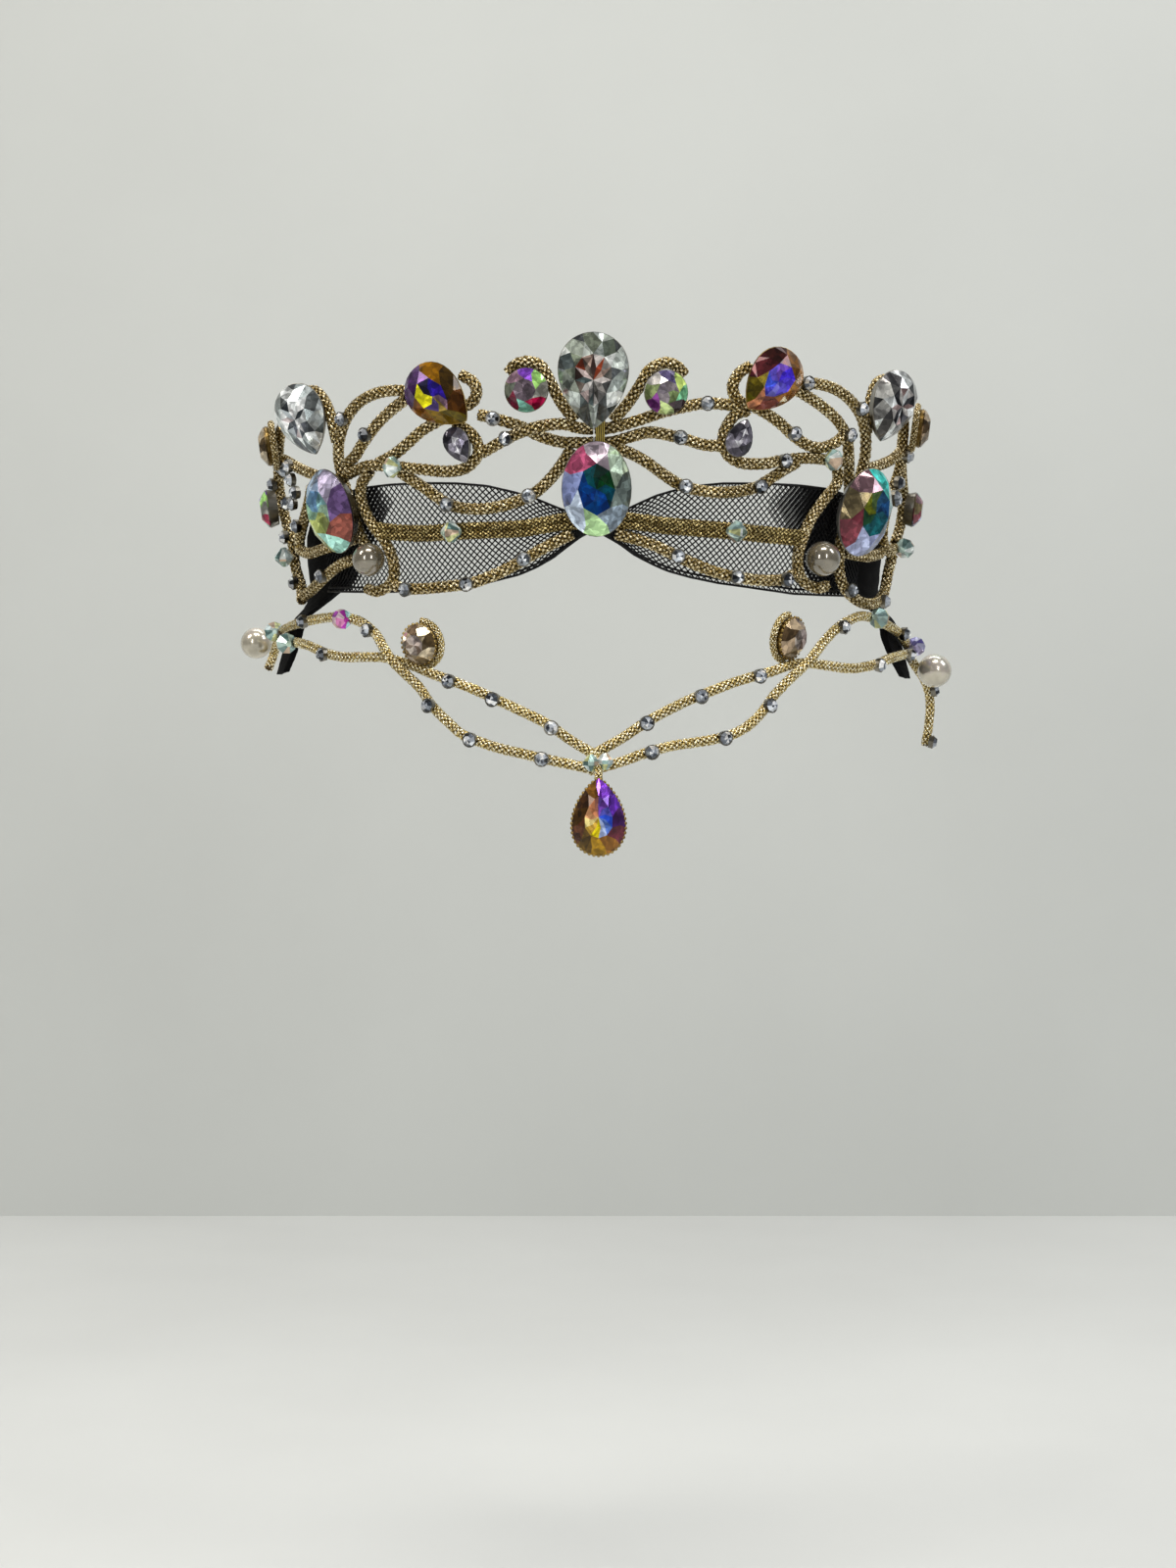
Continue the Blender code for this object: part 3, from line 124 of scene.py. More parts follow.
# Cords of the scrolls. Columns: bearing away from the middle, height, lift where there is any
SCROLL_CORDS = {
    LEFT: {
        "upper_strand": [
            (18.0, 29.6), (16.4, 29.1), (13.8, 28.1), (11.1, 26.9), (8.4, 25.2), (5.2, 24.0), (2.4, 23.8),
            (0.15, 23.8)],
        "crossing_strand": [
            (18.0, 22.3), (15.7, 23.6, 0.2), (13.1, 24.9, 1.1), (10.3, 25.9, 2.6), (7.6, 26.8, 2.2),
            (4.6, 27.2, 0.9), (2.4, 26.6), (0.15, 26.4)],
        "round_scroll": [
            (2.9, 28.0), (5.1, 31.6), (6.7, 35.5), (7.9, 38.2), (9.9, 39.2), (11.8, 38.7), (13.0, 37.2)],
        "tall_arch": [
            (26.6, 34.0), (29.6, 35.0), (32.8, 35.6), (36.6, 35.4), (40.4, 34.0), (43.4, 31.5),
            (45.7, 27.8), (46.6, 24.5), (46.4, 20.6), (45.4, 15.8), (44.2, 10.6), (42.6, 6.0), (41.2, 3.2)],
        "hook": [
            (45.6, 20.4), (42.6, 21.2), (39.2, 21.7), (34.0, 21.0), (29.0, 20.0), (24.0, 19.2),
            (20.6, 19.8), (18.5, 22.3), (18.9, 25.2), (20.6, 27.2), (22.2, 28.4)],
        "low_arch": [
            (37.4, 22.0), (34.2, 23.2), (31.5, 24.8), (28.0, 27.4), (24.6, 29.2), (21.4, 30.9),
            (19.1, 32.0), (18.2, 33.8), (18.7, 35.9), (20.6, 37.4)],
        "mid_arch": [(44.8, 22.6), (42.4, 24.0), (40.4, 26.1), (37.1, 29.2), (33.8, 31.7), (30.4, 33.8)],
        "pear_loop": [(53.0, 38.4), (50.4, 38.0), (48.4, 35.8), (47.3, 32.6), (46.9, 29.4), (46.6, 27.4)],
        "scallop": [
            (33.0, 19.8), (31.2, 18.4), (28.4, 16.2), (25.3, 13.6), (22.2, 12.1), (17.9, 11.7),
            (13.5, 12.5), (9.8, 14.2), (7.3, 16.6), (5.3, 19.4), (3.5, 22.7)],
        "pearl_wave": [
            (39.4, 20.6), (41.8, 18.2), (42.2, 14.5), (40.4, 10.2), (37.9, 6.7), (36.5, 2.2), (36.8, -1.6),
            (39.6, -3.2), (42.4, -2.6)],
        "bottom_curve": [
            (3.6, 6.6), (5.6, 5.4), (8.9, 3.5), (12.0, 1.5), (16.2, -0.8), (20.6, -2.6), (25.1, -3.1),
            (30.0, -3.3), (33.6, -3.1), (36.4, -2.2)],
        "edge_scroll": [
            (60.0, 33.6), (64.4, 33.2), (67.8, 30.2), (70.6, 26.2), (73.4, 20.8), (72.0, 14.8), (69.6, 9.6),
            (70.4, 4.6), (68.6, 0.4), (65.6, -3.2)],
        "side_arm": [(69.4, 27.4), (65.0, 26.2), (60.0, 24.0), (54.6, 21.8), (47.4, 19.4)],
        "side_loop": [
            (56.0, 19.6), (58.8, 15.6), (63.2, 11.4), (65.4, 8.0), (61.0, 6.4), (54.6, 6.7), (48.6, 7.2),
            (44.2, 7.8)],
        "side_curve": [(43.0, 3.6), (46.8, 3.6), (51.0, 2.8), (55.6, 1.2), (61.0, -1.0), (65.4, -2.2)],
    },
    RIGHT: {
        "upper_strand": [
            (22.8, 31.7), (17.9, 31.8), (14.3, 31.0), (10.7, 29.8), (7.6, 28.4), (4.8, 27.3), (2.4, 26.6),
            (0.15, 26.4)],
        "crossing_strand": [
            (20.4, 23.9), (17.5, 23.9), (13.2, 25.1), (8.8, 25.9), (5.6, 24.9), (2.6, 23.9), (0.15, 23.8)],
        "round_scroll": [
            (2.9, 28.0), (5.0, 31.0), (7.0, 34.7), (8.4, 37.6), (10.7, 39.0), (12.6, 38.4), (13.8, 36.9)],
        "tall_arch": [
            (31.6, 36.6), (35.7, 37.4), (40.3, 37.2), (44.7, 35.6), (48.2, 33.0), (50.4, 29.4),
            (51.2, 25.5), (50.6, 21.0), (49.0, 15.0), (47.8, 9.4), (47.6, 4.2), (49.2, -1.0), (53.0, -4.2),
            (59.0, -4.3), (65.6, -1.8), (68.8, 3.0), (69.8, 7.0)],
        "mid_arch": [
            (32.8, 35.9), (35.4, 34.8), (38.9, 33.2), (42.8, 30.9), (45.4, 28.0), (46.6, 24.6),
            (47.4, 20.6), (48.4, 16.4)],
        "hook": [
            (24.6, 31.0), (22.2, 29.6), (20.7, 25.9), (21.5, 22.5), (24.1, 20.9), (28.2, 21.0),
            (31.6, 21.9), (36.5, 22.9), (41.4, 23.1), (46.4, 23.4)],
        "low_arch": [
            (24.4, 39.4), (22.6, 37.8), (21.7, 35.2), (22.8, 32.7), (26.4, 31.4), (30.3, 29.3),
            (33.6, 26.9), (36.8, 25.4), (39.8, 25.3), (42.8, 26.7), (44.6, 28.4)],
        "pear_loop": [(53.4, 41.0), (51.4, 39.4), (50.6, 36.4), (50.6, 33.0), (50.8, 29.8)],
        "scallop": [
            (3.4, 22.8), (5.6, 21.9), (8.2, 20.3), (11.1, 18.0), (14.4, 15.9), (18.8, 15.0), (23.1, 15.2),
            (26.8, 16.2), (29.6, 18.1), (32.6, 20.4), (34.8, 21.8)],
        "pearl_wave": [
            (43.4, 22.6), (44.6, 19.2), (41.8, 15.2), (39.2, 11.2), (37.8, 7.0), (37.2, 3.0), (38.4, -0.8),
            (41.4, -2.4), (44.4, -1.8)],
        "bottom_curve": [
            (3.6, 6.6), (5.8, 5.9), (9.4, 4.7), (14.1, 2.4), (19.1, 0.2), (23.7, -1.1), (28.9, -1.6),
            (34.0, -1.2), (37.0, 0.2)],
        "edge_scroll": [
            (57.4, 35.0), (60.6, 36.4), (63.6, 34.0), (64.8, 29.4), (65.4, 24.8), (63.6, 20.0),
            (61.8, 14.8), (62.2, 9.8), (66.6, 7.4), (71.2, 9.0)],
        "side_arm": [(66.2, 29.4), (62.0, 26.4), (57.4, 24.4), (52.0, 22.6)],
        "side_loop": [(70.2, 9.6), (72.6, 14.0), (71.0, 19.4), (67.6, 23.0), (66.0, 25.6)],
        "side_curve": [(48.6, 5.4), (52.8, 5.2), (57.6, 5.4), (62.6, 6.6)],
    },
}

# Pair of thin cords across the middle of the net. Columns: bearing, height
MIDDLE_PAIRS = {
    LEFT: [
        (39.0, 8.9), (36.0, 8.3), (30.2, 7.6), (24.5, 7.6), (18.1, 7.6), (11.7, 7.7), (5.6, 8.7),
        (1.2, 9.2)],
    RIGHT: [(37.6, 7.2), (29.5, 7.4), (22.7, 7.7), (12.2, 8.2), (5.6, 9.0), (1.2, 9.2)],
}

# Bead on each middle pair: kind, bearing, height
MIDDLE_BEAD = ("bicone", 23.4, 7.6)

# Cords of the forehead drape. Columns: bearing away from the middle, height, lift where there is any
DRAPE_CORDS = {
    LEFT: {
        "drape_rising": [
            (76.8, -10.9), (70.0, -11.4), (63.0, -12.2), (56.4, -13.4), (49.8, -15.4), (44.6, -16.4),
            (39.7, -16.6), (35.5, -16.9), (32.4, -17.8), (29.2, -18.9), (25.3, -20.7), (22.1, -22.0),
            (18.2, -23.8), (15.0, -25.6), (10.6, -28.1), (6.6, -30.7), (3.4, -33.6), (0.2, -36.2),
            (-0.5, -37.2)],
        "drape_falling": [
            (84.0, -16.4, 0.8), (85.6, -13.4, 0.6), (83.6, -10.6, 0.4), (79.0, -9.0), (72.0, -8.5),
            (63.4, -8.1), (54.1, -7.8), (47.5, -8.1), (42.5, -9.3), (38.4, -12.0), (35.1, -15.0, 1.4),
            (32.4, -17.7, 2.4), (30.0, -20.3, 1.6), (27.6, -23.2, 0.2), (25.1, -26.8), (22.1, -30.0),
            (19.3, -32.6), (14.4, -34.9), (10.3, -36.2), (7.0, -37.2), (3.6, -38.2), (0.2, -39.2),
            (-0.7, -39.5)],
    },
    RIGHT: {
        "drape_rising": [
            (77.4, -13.8), (71.8, -14.1), (66.0, -14.8), (60.3, -15.8), (55.6, -17.0), (50.9, -18.0),
            (46.2, -18.6), (40.5, -18.3), (36.4, -18.0), (34.0, -18.2), (31.5, -18.9), (28.9, -19.9),
            (26.0, -20.8), (21.6, -22.4), (17.2, -24.4), (13.7, -26.2), (10.0, -28.5), (7.1, -30.6),
            (4.1, -33.2), (0.2, -36.2), (-0.5, -37.2)],
        "drape_falling": [
            (85.4, -33.4, -2.0), (86.0, -28.4, 0.2), (86.0, -23.2, 1.8), (84.6, -19.0, 1.6), (80.4, -15.2),
            (75.6, -11.8), (70.4, -9.9), (64.1, -8.7), (58.7, -7.7), (53.2, -7.4), (48.3, -8.8),
            (44.2, -10.9), (40.3, -13.8, 0.2), (37.0, -16.2, 1.5), (34.2, -18.4, 2.4), (31.6, -21.0, 1.6),
            (28.6, -24.6, 0.2), (25.4, -28.8), (22.2, -31.6), (18.8, -33.1), (14.9, -34.0), (11.3, -34.7),
            (7.6, -36.0), (4.0, -37.7), (0.2, -39.2), (-0.7, -39.5)],
    },
}

# Small round stones and cut beads sewn on the cords. Columns: bearing, height, kind of a bead
TRIMS = {
    LEFT: {
        "crossing_strand": [(12.6, 25.1)],
        "upper_strand": [(15.4, 28.6)],
        "tall_arch": [(43.4, 31.5)],
        "mid_arch": [(38.6, 27.8)],
        "hook": [(33.2, 20.9, "bicone")],
        "scallop": [(24.0, 12.9), (10.2, 13.9)],
        "bottom_curve": [(11.4, 1.9), (21.2, -2.6), (32.6, -3.2)],
        "edge_scroll": [(72.8, 22.6), (70.0, 11.0), (69.8, 6.8, "bicone"), (69.0, 1.0)],
        "side_arm": [(61.6, 24.7)],
        "side_loop": [(62.2, 12.2)],
        "side_curve": [(55.4, 1.3)],
        "drape_falling": [
            (76.0, -8.7, "bicone"), (59.6, -8.0), (45.6, -8.6, "rose bead"), (39.4, -11.2), (25.0, -26.8),
            (17.8, -33.4), (7.2, -37.1)],
        "drape_rising": [
            (63.0, -12.2, "bicone"), (49.6, -15.4), (22.2, -22.0), (14.9, -25.7), (5.8, -31.2)],
    },
    RIGHT: {
        "crossing_strand": [(13.2, 25.1)],
        "upper_strand": [(17.2, 31.8)],
        "tall_arch": [(34.4, 37.2), (47.0, 34.0), (50.4, -2.2), (62.0, -3.6)],
        "mid_arch": [(45.0, 28.6)],
        "low_arch": [(33.0, 27.6)],
        "hook": [(31.6, 21.9), (41.0, 23.1, "bicone")],
        "scallop": [(14.4, 15.9), (27.4, 16.6)],
        "bottom_curve": [(13.7, 2.6), (24.2, -1.2), (34.0, -1.2)],
        "edge_scroll": [(65.2, 27.4), (62.8, 17.8), (70.6, 8.8, "bicone")],
        "side_loop": [(72.2, 15.6)],
        "drape_falling": [
            (82.0, -31.6), (84.0, -22.8), (76.0, -12.0, "blue bead"), (69.8, -9.8), (56.4, -7.4, "bicone"),
            (45.4, -10.2), (26.9, -26.8), (19.0, -33.0), (8.0, -35.8)],
        "drape_rising": [(70.0, -14.3), (53.6, -17.4), (25.9, -20.8), (15.8, -25.0), (7.4, -30.4)],
    },
}

# Small stones of the short chain between the left edge and the side oval. Columns: bearing, height
CHAIN_STONES = {
    LEFT: [(66.4, 25.4), (63.8, 24.0), (61.6, 21.8), (60.6, 19.0), (62.6, 17.0), (65.4, 17.4)],
    RIGHT: [(63.2, 21.4), (62.4, 18.4)],
}
CHAIN_LIFT = 0.6

# Pearls. Columns: name, diameter, bearing, height, lift of the centre
PEARLS = [
    ("left_front_pearl", 6.6, -39.6, 2.9, 3.2),
    ("right_front_pearl", 7.0, 40.8, 3.2, 2.9),
    ("left_end_pearl", 7.0, -87.0, -10.6, 5.3),
    ("right_end_pearl", 7.4, 79.8, -17.2, 4.2),
]

# Drop at the point of the drape
DROP_SIZE = (9.6, 14.0, 4.6)
DROP_BEARING = 0.6
DROP_HEIGHT = -48.2
DROP_LIFT = 1.2
DROP_BEAD = (1.7, 1.6, 0.4)
DROP_BEADS = [(-0.4, -38.0, 2.5), (1.5, -37.7, 2.5)]
DROP_NECK_RADIUS = 0.8
DROP_NECK_SINK = 1.5
DROP_NECK_LIFT = 1.6
DROP_NECK_STEPS = 6
DROP_FACETS = 12
DROP_SEED = 91
DROP_STUD_SPACING = 0.9
DROP_BEAD_TILT = 84.0
DROP_BEAD_SEED = 60

# Thread that binds the two sides' strands. The slack is how far its turns swell and shrink
BINDING_SIZE = (2.0, 7.4, 3.8)
BINDING_BEARING = 1.0
BINDING_HEIGHT = 25.1
BINDING_TURNS = 6
BINDING_STEPS = 28
BINDING_INSET = 0.4
BINDING_SIDE_INSET = 0.3
BINDING_SLACK = 0.04
BINDING_SLACK_RATE = 2.3
THREAD_RADIUS = 0.17

# Net band. Columns: bearing, height of the top edge, height of the lower edge
NET_SECTIONS = {
    LEFT: [
        (0.4, 9.8, 7.2), (2.2, 10.0, 6.2), (4.4, 11.0, 4.4), (7.0, 12.2, 2.2), (9.8, 13.6, 0.5),
        (13.0, 14.8, -1.0), (18.0, 16.3, -2.3), (23.5, 17.1, -3.0), (30.0, 17.6, -3.3),
        (37.0, 17.9, -3.4), (44.0, 17.9, -3.0), (51.0, 17.0, -2.4), (58.0, 15.0, -1.8)],
    RIGHT: [
        (0.4, 9.8, 7.2), (2.2, 10.0, 6.2), (4.4, 10.8, 4.8), (7.0, 12.3, 2.7), (10.3, 14.1, 0.9),
        (13.0, 15.1, -0.3), (16.8, 16.2, -1.4), (22.0, 17.0, -2.4), (30.0, 17.5, -3.2),
        (37.5, 17.8, -3.8), (44.3, 17.8, -3.6), (51.6, 17.0, -3.2), (58.0, 15.4, -2.6)],
}
NET_FRONT_LIFT = -1.65
NET_SINK = 0.5
NET_LENGTH_STEPS = 50
HEM_STEPS = 80
HEM_SHARES = (0.0, 0.045, 1.0)

# Layers of the net's folded-back end: bearing from which each is there, at a share of the way up the
# net, and how much further out it starts at its edges
FOLD_STARTS = {LEFT: (36.5, 38.0, 41.5), RIGHT: (30.5, 32.5, 35.5)}
FOLD_SPREAD = 16.0
FOLD_SHARE = 0.83

# Layers behind the first: how many cells each is shifted along and up the net, and how far back it is
LAYER_STEP_ALONG = 0.6
LAYER_STEP_UP = 0.5
LAYER_GAP = 0.3

# Velvet tab behind the end of the net, down to the drape.
# Columns: height, inner bearing, outer bearing, lift of its front
VELVET_SECTIONS = {
    LEFT: [
        (14.0, 53.0, 64.0, -3.05), (10.0, 50.5, 69.0, -3.05), (5.0, 50.0, 71.5, -3.05),
        (0.0, 52.5, 72.5, -3.05), (-3.5, 60.0, 74.0, -3.05), (-7.0, 66.0, 77.0, -1.4),
        (-11.0, 67.0, 80.5, -1.4), (-15.0, 68.0, 81.5, -1.4), (-18.0, 70.0, 80.0, -1.4)],
    RIGHT: [
        (13.0, 56.0, 66.0, -3.05), (9.5, 53.0, 71.0, -3.05), (5.0, 52.0, 73.5, -3.05),
        (0.0, 54.0, 75.5, -3.05), (-3.5, 62.0, 77.0, -3.05), (-7.0, 65.0, 79.0, -1.4),
        (-11.0, 64.5, 81.0, -1.4), (-15.0, 66.0, 81.0, -1.4), (-19.0, 70.0, 78.0, -1.4)],
}
VELVET_COLUMNS = 14
VELVET_STEPS = 6
VELVET_RUFFLE = 0.06
VELVET_SEED = 5

# Stones in settings. Columns: name, outline, width, height, depth, bearing, height on the wall, lift,
# the bearing that the stone faces, turn anticlockwise in degrees, palette, facets round
STONES = [
    ("centre_pear", "pear", 12.9, 17.6, 6.0, -0.1, 35.1, 2.3, 0.0, 0.0, "crystal", 12),
    ("centre_oval", "oval", 12.8, 17.6, 5.8, 0.4, 14.8, 2.6, 0.0, 0.0, "blue rainbow", 8),
    ("left_round_stone", "oval", 7.9, 7.9, 4.4, -10.0, 33.8, 0.4, -8.0, 0.0, "mauve rainbow", 8),
    ("right_round_stone", "oval", 7.9, 7.9, 4.4, 10.7, 33.4, 0.4, 8.0, 0.0, "moss rainbow", 8),
    ("left_amber_pear", "pear", 10.4, 14.2, 5.2, -23.4, 33.2, 1.7, -18.0, 49.0, "amber violet", 8),
    ("right_amber_pear", "pear", 10.2, 13.8, 5.2, 26.9, 36.4, 1.7, 20.0, -42.0, "violet amber", 8),
    ("left_small_pear", "pear", 4.6, 6.8, 3.2, -21.3, 24.0, 0.2, -16.0, 25.0, "grey crystal", 6),
    ("right_small_pear", "pear", 4.8, 7.0, 3.2, 23.0, 25.6, 0.2, 16.0, 160.0, "grey crystal", 6),
    ("left_clear_pear", "pear", 10.4, 14.4, 5.2, -50.4, 32.0, 3.2, -22.0, 21.0, "side crystal", 10),
    ("right_clear_pear", "pear", 10.2, 14.4, 5.2, 52.0, 35.0, 2.8, 32.0, -18.0, "darkly mirroring crystal", 10),
    ("left_side_oval", "oval", 12.4, 17.2, 5.4, -46.4, 13.4, 2.0, -47.0, 22.0, "dusk rainbow", 8),
    ("right_side_oval", "oval", 12.4, 17.6, 5.4, 49.0, 13.4, 2.3, 35.0, -15.0, "dawn rainbow", 8),
    ("left_end_stone", "oval", 7.6, 7.8, 3.6, -64.0, 29.2, 2.2, -84.0, 0.0, "smoky", 8),
    ("right_end_stone", "oval", 7.4, 7.6, 3.6, 64.4, 33.0, 1.8, 84.0, 0.0, "smoky", 8),
    ("left_edge_stone", "oval", 7.2, 7.6, 3.6, -69.8, 17.0, 2.0, -82.0, 0.0, "mauve rainbow", 8),
    ("right_edge_stone", "oval", 6.6, 6.8, 3.6, 68.4, 16.6, 1.6, 80.0, 0.0, "dawn rainbow", 8),
    ("left_brown_oval", "oval", 6.8, 7.6, 4.2, -28.0, -14.4, 0.3, -24.0, 15.0, "smoky", 8),
    ("right_brown_oval", "oval", 6.6, 7.8, 4.2, 32.2, -13.0, 0.3, 46.0, -15.0, "smoky", 8),
]

# Stones with a thin gold cord laid round the edge, clockwise between twenty-fourths of the way round
EDGE_CORDS = {"left_brown_oval": (1, 13), "right_brown_oval": (11, 23), "left_end_stone": (0, 24),
              "right_end_stone": (0, 24)}
EDGE_CORD_RADIUS = 0.7
EDGE_CORD_POINTS = 24
EDGE_CORD_GAP = 1.4
EDGE_CORD_LEVEL = 0.5
STUDDED_STONES = ("left_brown_oval", "right_brown_oval")

# Palettes of the foiled glass: facet colours clockwise from the top of the stone
# The colours are painted reflections, and the white ones painted glints; the coloured stones also show their
# glass's own tint
PALETTES = {
    "crystal": {
        "table": ["#3c2c28", "#8c3c24", "#a48c80", "#c8c0bc", "#8c8884", "#54524e", "#3c3c3c", "#7c7a78",
                  "#b4b0ac", "#4c5858", "#ccb8b4", "#6c6058"],
        "crown": ["#747c6c", "#50584c", "#c4ccc4", "#8c9490", "#dce0dc", "#54585a", "#a4aca8", "#4c5050",
                  "#b0b8b4", "#7c847c", "#444c4c", "#98a094"]},
    "side crystal": {
        "table": ["#fcfcfc", "#f0f4f4", "#34383c", "#d8dcdc", "#fcfcfc", "#e4e8e8", "#70747c", "#54585c",
                  "#ccc0c0", "#b4bcc0"],
        "crown": ["#e8ecec", "#a4acac", "#5c6060", "#ccd4d4", "#f4f8f8", "#7c8484", "#44484c", "#bcc4c4",
                  "#dce4e4", "#747c7c"]},
    # Clear glass whose facets are painted dark reflections
    "darkly mirroring crystal": {
        "table": ["#e8ecec", "#3c3c40", "#8c7472", "#bcb8b4", "#24262a", "#d8dcdc", "#4c4c50", "#a08c8a",
                  "#1c1e22", "#c8c4c0"],
        "crown": ["#a8acac", "#5c5c5c", "#d0d4d4", "#343638", "#8c8a88", "#dce0e0", "#484644", "#747472",
                  "#b4b4b0", "#2c2c2e"]},
    "grey crystal": {
        "table": ["#c8c6cc", "#8a8692", "#5c5864", "#e0e0e4", "#6c6874", "#a8a4b0"],
        "crown": ["#4c4854", "#7c7884", "#34323a", "#98949e", "#5c5864", "#2c2a32"]},
    "blue rainbow": {
        "table": ["#002c24", "#00441c", "#003848", "#003884", "#00448c", "#003078", "#003a80", "#004048"],
        "crown": ["#b4a4b0", "#b8ccb4", "#64706c", "#8494a4", "#b4dca0", "#c8d8f0", "#8490c0", "#b85478"]},
    "dusk rainbow": {
        "table": ["#7aa8d4", "#90c4c8", "#a8ccb0", "#c0cc7c", "#b8c870", "#c4d07c", "#a8d4b4", "#84b4d8"],
        "crown": ["#9ab0cc", "#a49cb4", "#6c5484", "#8c4c40", "#b4f0e0", "#c8d88c", "#b4d4a0", "#8cb4d4"]},
    "dawn rainbow": {
        "table": ["#2c5c84", "#1c4c80", "#246474", "#1c6c74", "#1c5860", "#245434", "#707818", "#4c6438"],
        "crown": ["#3cc0b8", "#708c90", "#707e8c", "#7880a4", "#acb4d8", "#7c3844", "#706448", "#785c64"]},
    "amber violet": {
        "table": ["#26243c", "#2a1c90", "#341ca8", "#8c6c80", "#a48c44", "#54447c", "#f0e81c", "#f4ec24"],
        "crown": ["#4c2464", "#845806", "#3c2a08", "#442606", "#5c4e08", "#7c6008", "#74460c", "#48245c"]},
    "violet amber": {
        "table": ["#4830e0", "#5844dc", "#6458d4", "#7470cc", "#5450d4", "#4458e0", "#6454cc", "#7450c0"],
        "crown": ["#6c4410", "#94641c", "#845010", "#743c34", "#b0704c", "#5c500c", "#44181c", "#30100c"]},
    "violet drop": {
        "table": ["#d4c018", "#c8a040", "#dcc880", "#dca070", "#cc845c", "#a06858", "#684ca4", "#7848b4",
                  "#5858bc", "#3054dc", "#5c7cd0", "#9cacd4"],
        "crown": ["#947014", "#5c4414", "#54301c", "#483010", "#3c2410", "#6c4818", "#6c2cac", "#7c3cc0",
                  "#5c2ca0", "#4c2464", "#5c2430", "#80541c"]},
    "mauve rainbow": {
        "table": ["#80707c", "#746870", "#8c7c88", "#6c6068"],
        "crown": ["#8448c4", "#a4dc78", "#a4a49c", "#a41444", "#88d0bc", "#60182c", "#687064", "#987888"]},
    "moss rainbow": {
        "table": ["#7c7478", "#6c7c50", "#847c80", "#746c74"],
        "crown": ["#585074", "#b4cc6c", "#74b88c", "#48383f", "#bcd08c", "#783880", "#9cac74", "#bcb8b4"]},
    "smoky": {
        "table": ["#988c88", "#746864", "#b0a098", "#645448", "#8c8078", "#ccc0b4", "#7c6c60", "#9c9088"],
        "crown": ["#6c5844", "#a8987c", "#54442c", "#ccbca0", "#7c6c54", "#98846c", "#4c3c28", "#b4a084"]},
}

WARM_PALETTES = ("amber violet", "violet amber", "violet drop", "smoky")

# Facet colours of the small round stones, painted reflections from near black to white, and of the cut beads,
# their own tint with painted glints
SMALL_STONE_COLOURS = ["#22262c", "#c2c8d0", "#686e78", "#fcfcfc", "#8a909a", "#40454c", "#e2e6ec",
                       "#a6acb4"]
BEAD_COLOURS = {
    "bicone": ["#b4ccc4", "#7c9490", "#dce4e0", "#64807c", "#c4c890", "#98b4b0", "#ccb49c", "#ccdcdc"],
    "rose bead": ["#b43cb0", "#c478a8", "#a8d8dc", "#d4b4c4", "#8c3494", "#e4c8d4", "#cc9cb4", "#a890a8"],
    "blue bead": ["#8c88d0", "#a8a4dc", "#7c94d4", "#d0d0f0", "#6c64b0", "#c8c8ec", "#9494dc", "#b0a8cc"]}

# Studio, in metres. Columns of the lights: name, place, size, share of the key light's power, colour
FLOOR_LEVEL = -0.218
WALL_PLACE = 0.47
WALL_TOP = 1.6
FLOOR_FRONT = -1.4
BOARD_HALF = 1.6
AIR_COLOUR = "#e6e8ea"
AIR_LIGHT = 0.25
LIGHTS = [
    ("ceiling_front", (0.05, -0.6, 1.25), (0.7, 0.25), 1.2, "#fffaf2"),
    ("ceiling_left", (-0.95, -0.5, 0.9), (0.3, 0.5), 0.55, "#fff8ee"),
    ("ceiling_right", (1.0, -0.35, 0.85), (0.3, 0.5), 0.5, "#f6f8ff"),
    ("strip_left", (-0.6, -1.2, 0.25), (0.1, 0.5), 0.3, "#ffffff"),
    ("strip_right", (0.5, -1.3, 0.35), (0.08, 0.5), 0.3, "#ffffff"),
    ("back_top", (0.1, 0.32, 1.2), (1.2, 0.3), 0.45, "#ffffff"),
]
CAMERA_PLACE = (-0.00114, -0.578, -0.042)
LENS_PIXELS = 2625.0
PICTURE_HEIGHT = 1600.0
SENSOR_MM = 36.0


class CordSettings(bpy.types.PropertyGroup):
    """Sizes of the braided cord."""
    yarn_radius: FloatProperty(name="Yarn radius", description="Radius of one yarn of the braid",
                               default=0.3 * MM, unit="LENGTH", precision=5)
    lay: FloatProperty(name="Lay", description="Length of cord in which a yarn goes round once",
                       default=8.4 * MM, unit="LENGTH", precision=5)
    relief: FloatProperty(name="Relief", description="How far a yarn rises over the one it crosses",
                          default=0.12 * MM, unit="LENGTH", precision=5)
    steps: IntProperty(name="Steps", description="Points of a yarn from one crossing to the next but one",
                       default=4, min=3, max=12)
    yarns: IntProperty(name="Yarns each way", description="Yarns that run round in each direction",
                       default=6, min=2, max=8)


class StoneSettings(bpy.types.PropertyGroup):
    """Proportions of the cut stones and colours of the pearls."""
    table_width: FloatProperty(name="Table", description="Table's width as a share of the stone's",
                               default=0.56, min=0.3, max=0.8, subtype="FACTOR")
    break_width: FloatProperty(name="Break", description="Width at the ring of facets under the table",
                               default=0.84, min=0.6, max=0.95, subtype="FACTOR")
    # The front pearls' colour darkens their lacquer much more than the end pearls': painted dark reflection
    pearl_colour: FloatVectorProperty(name="Front pearls", description="Colour of the two front pearls",
                                      default=(0.33, 0.31, 0.27), subtype="COLOR", size=3)
    end_pearl_colour: FloatVectorProperty(name="End pearls", description="Colour of the two end pearls",
                                          default=(0.85, 0.85, 0.83), subtype="COLOR", size=3)


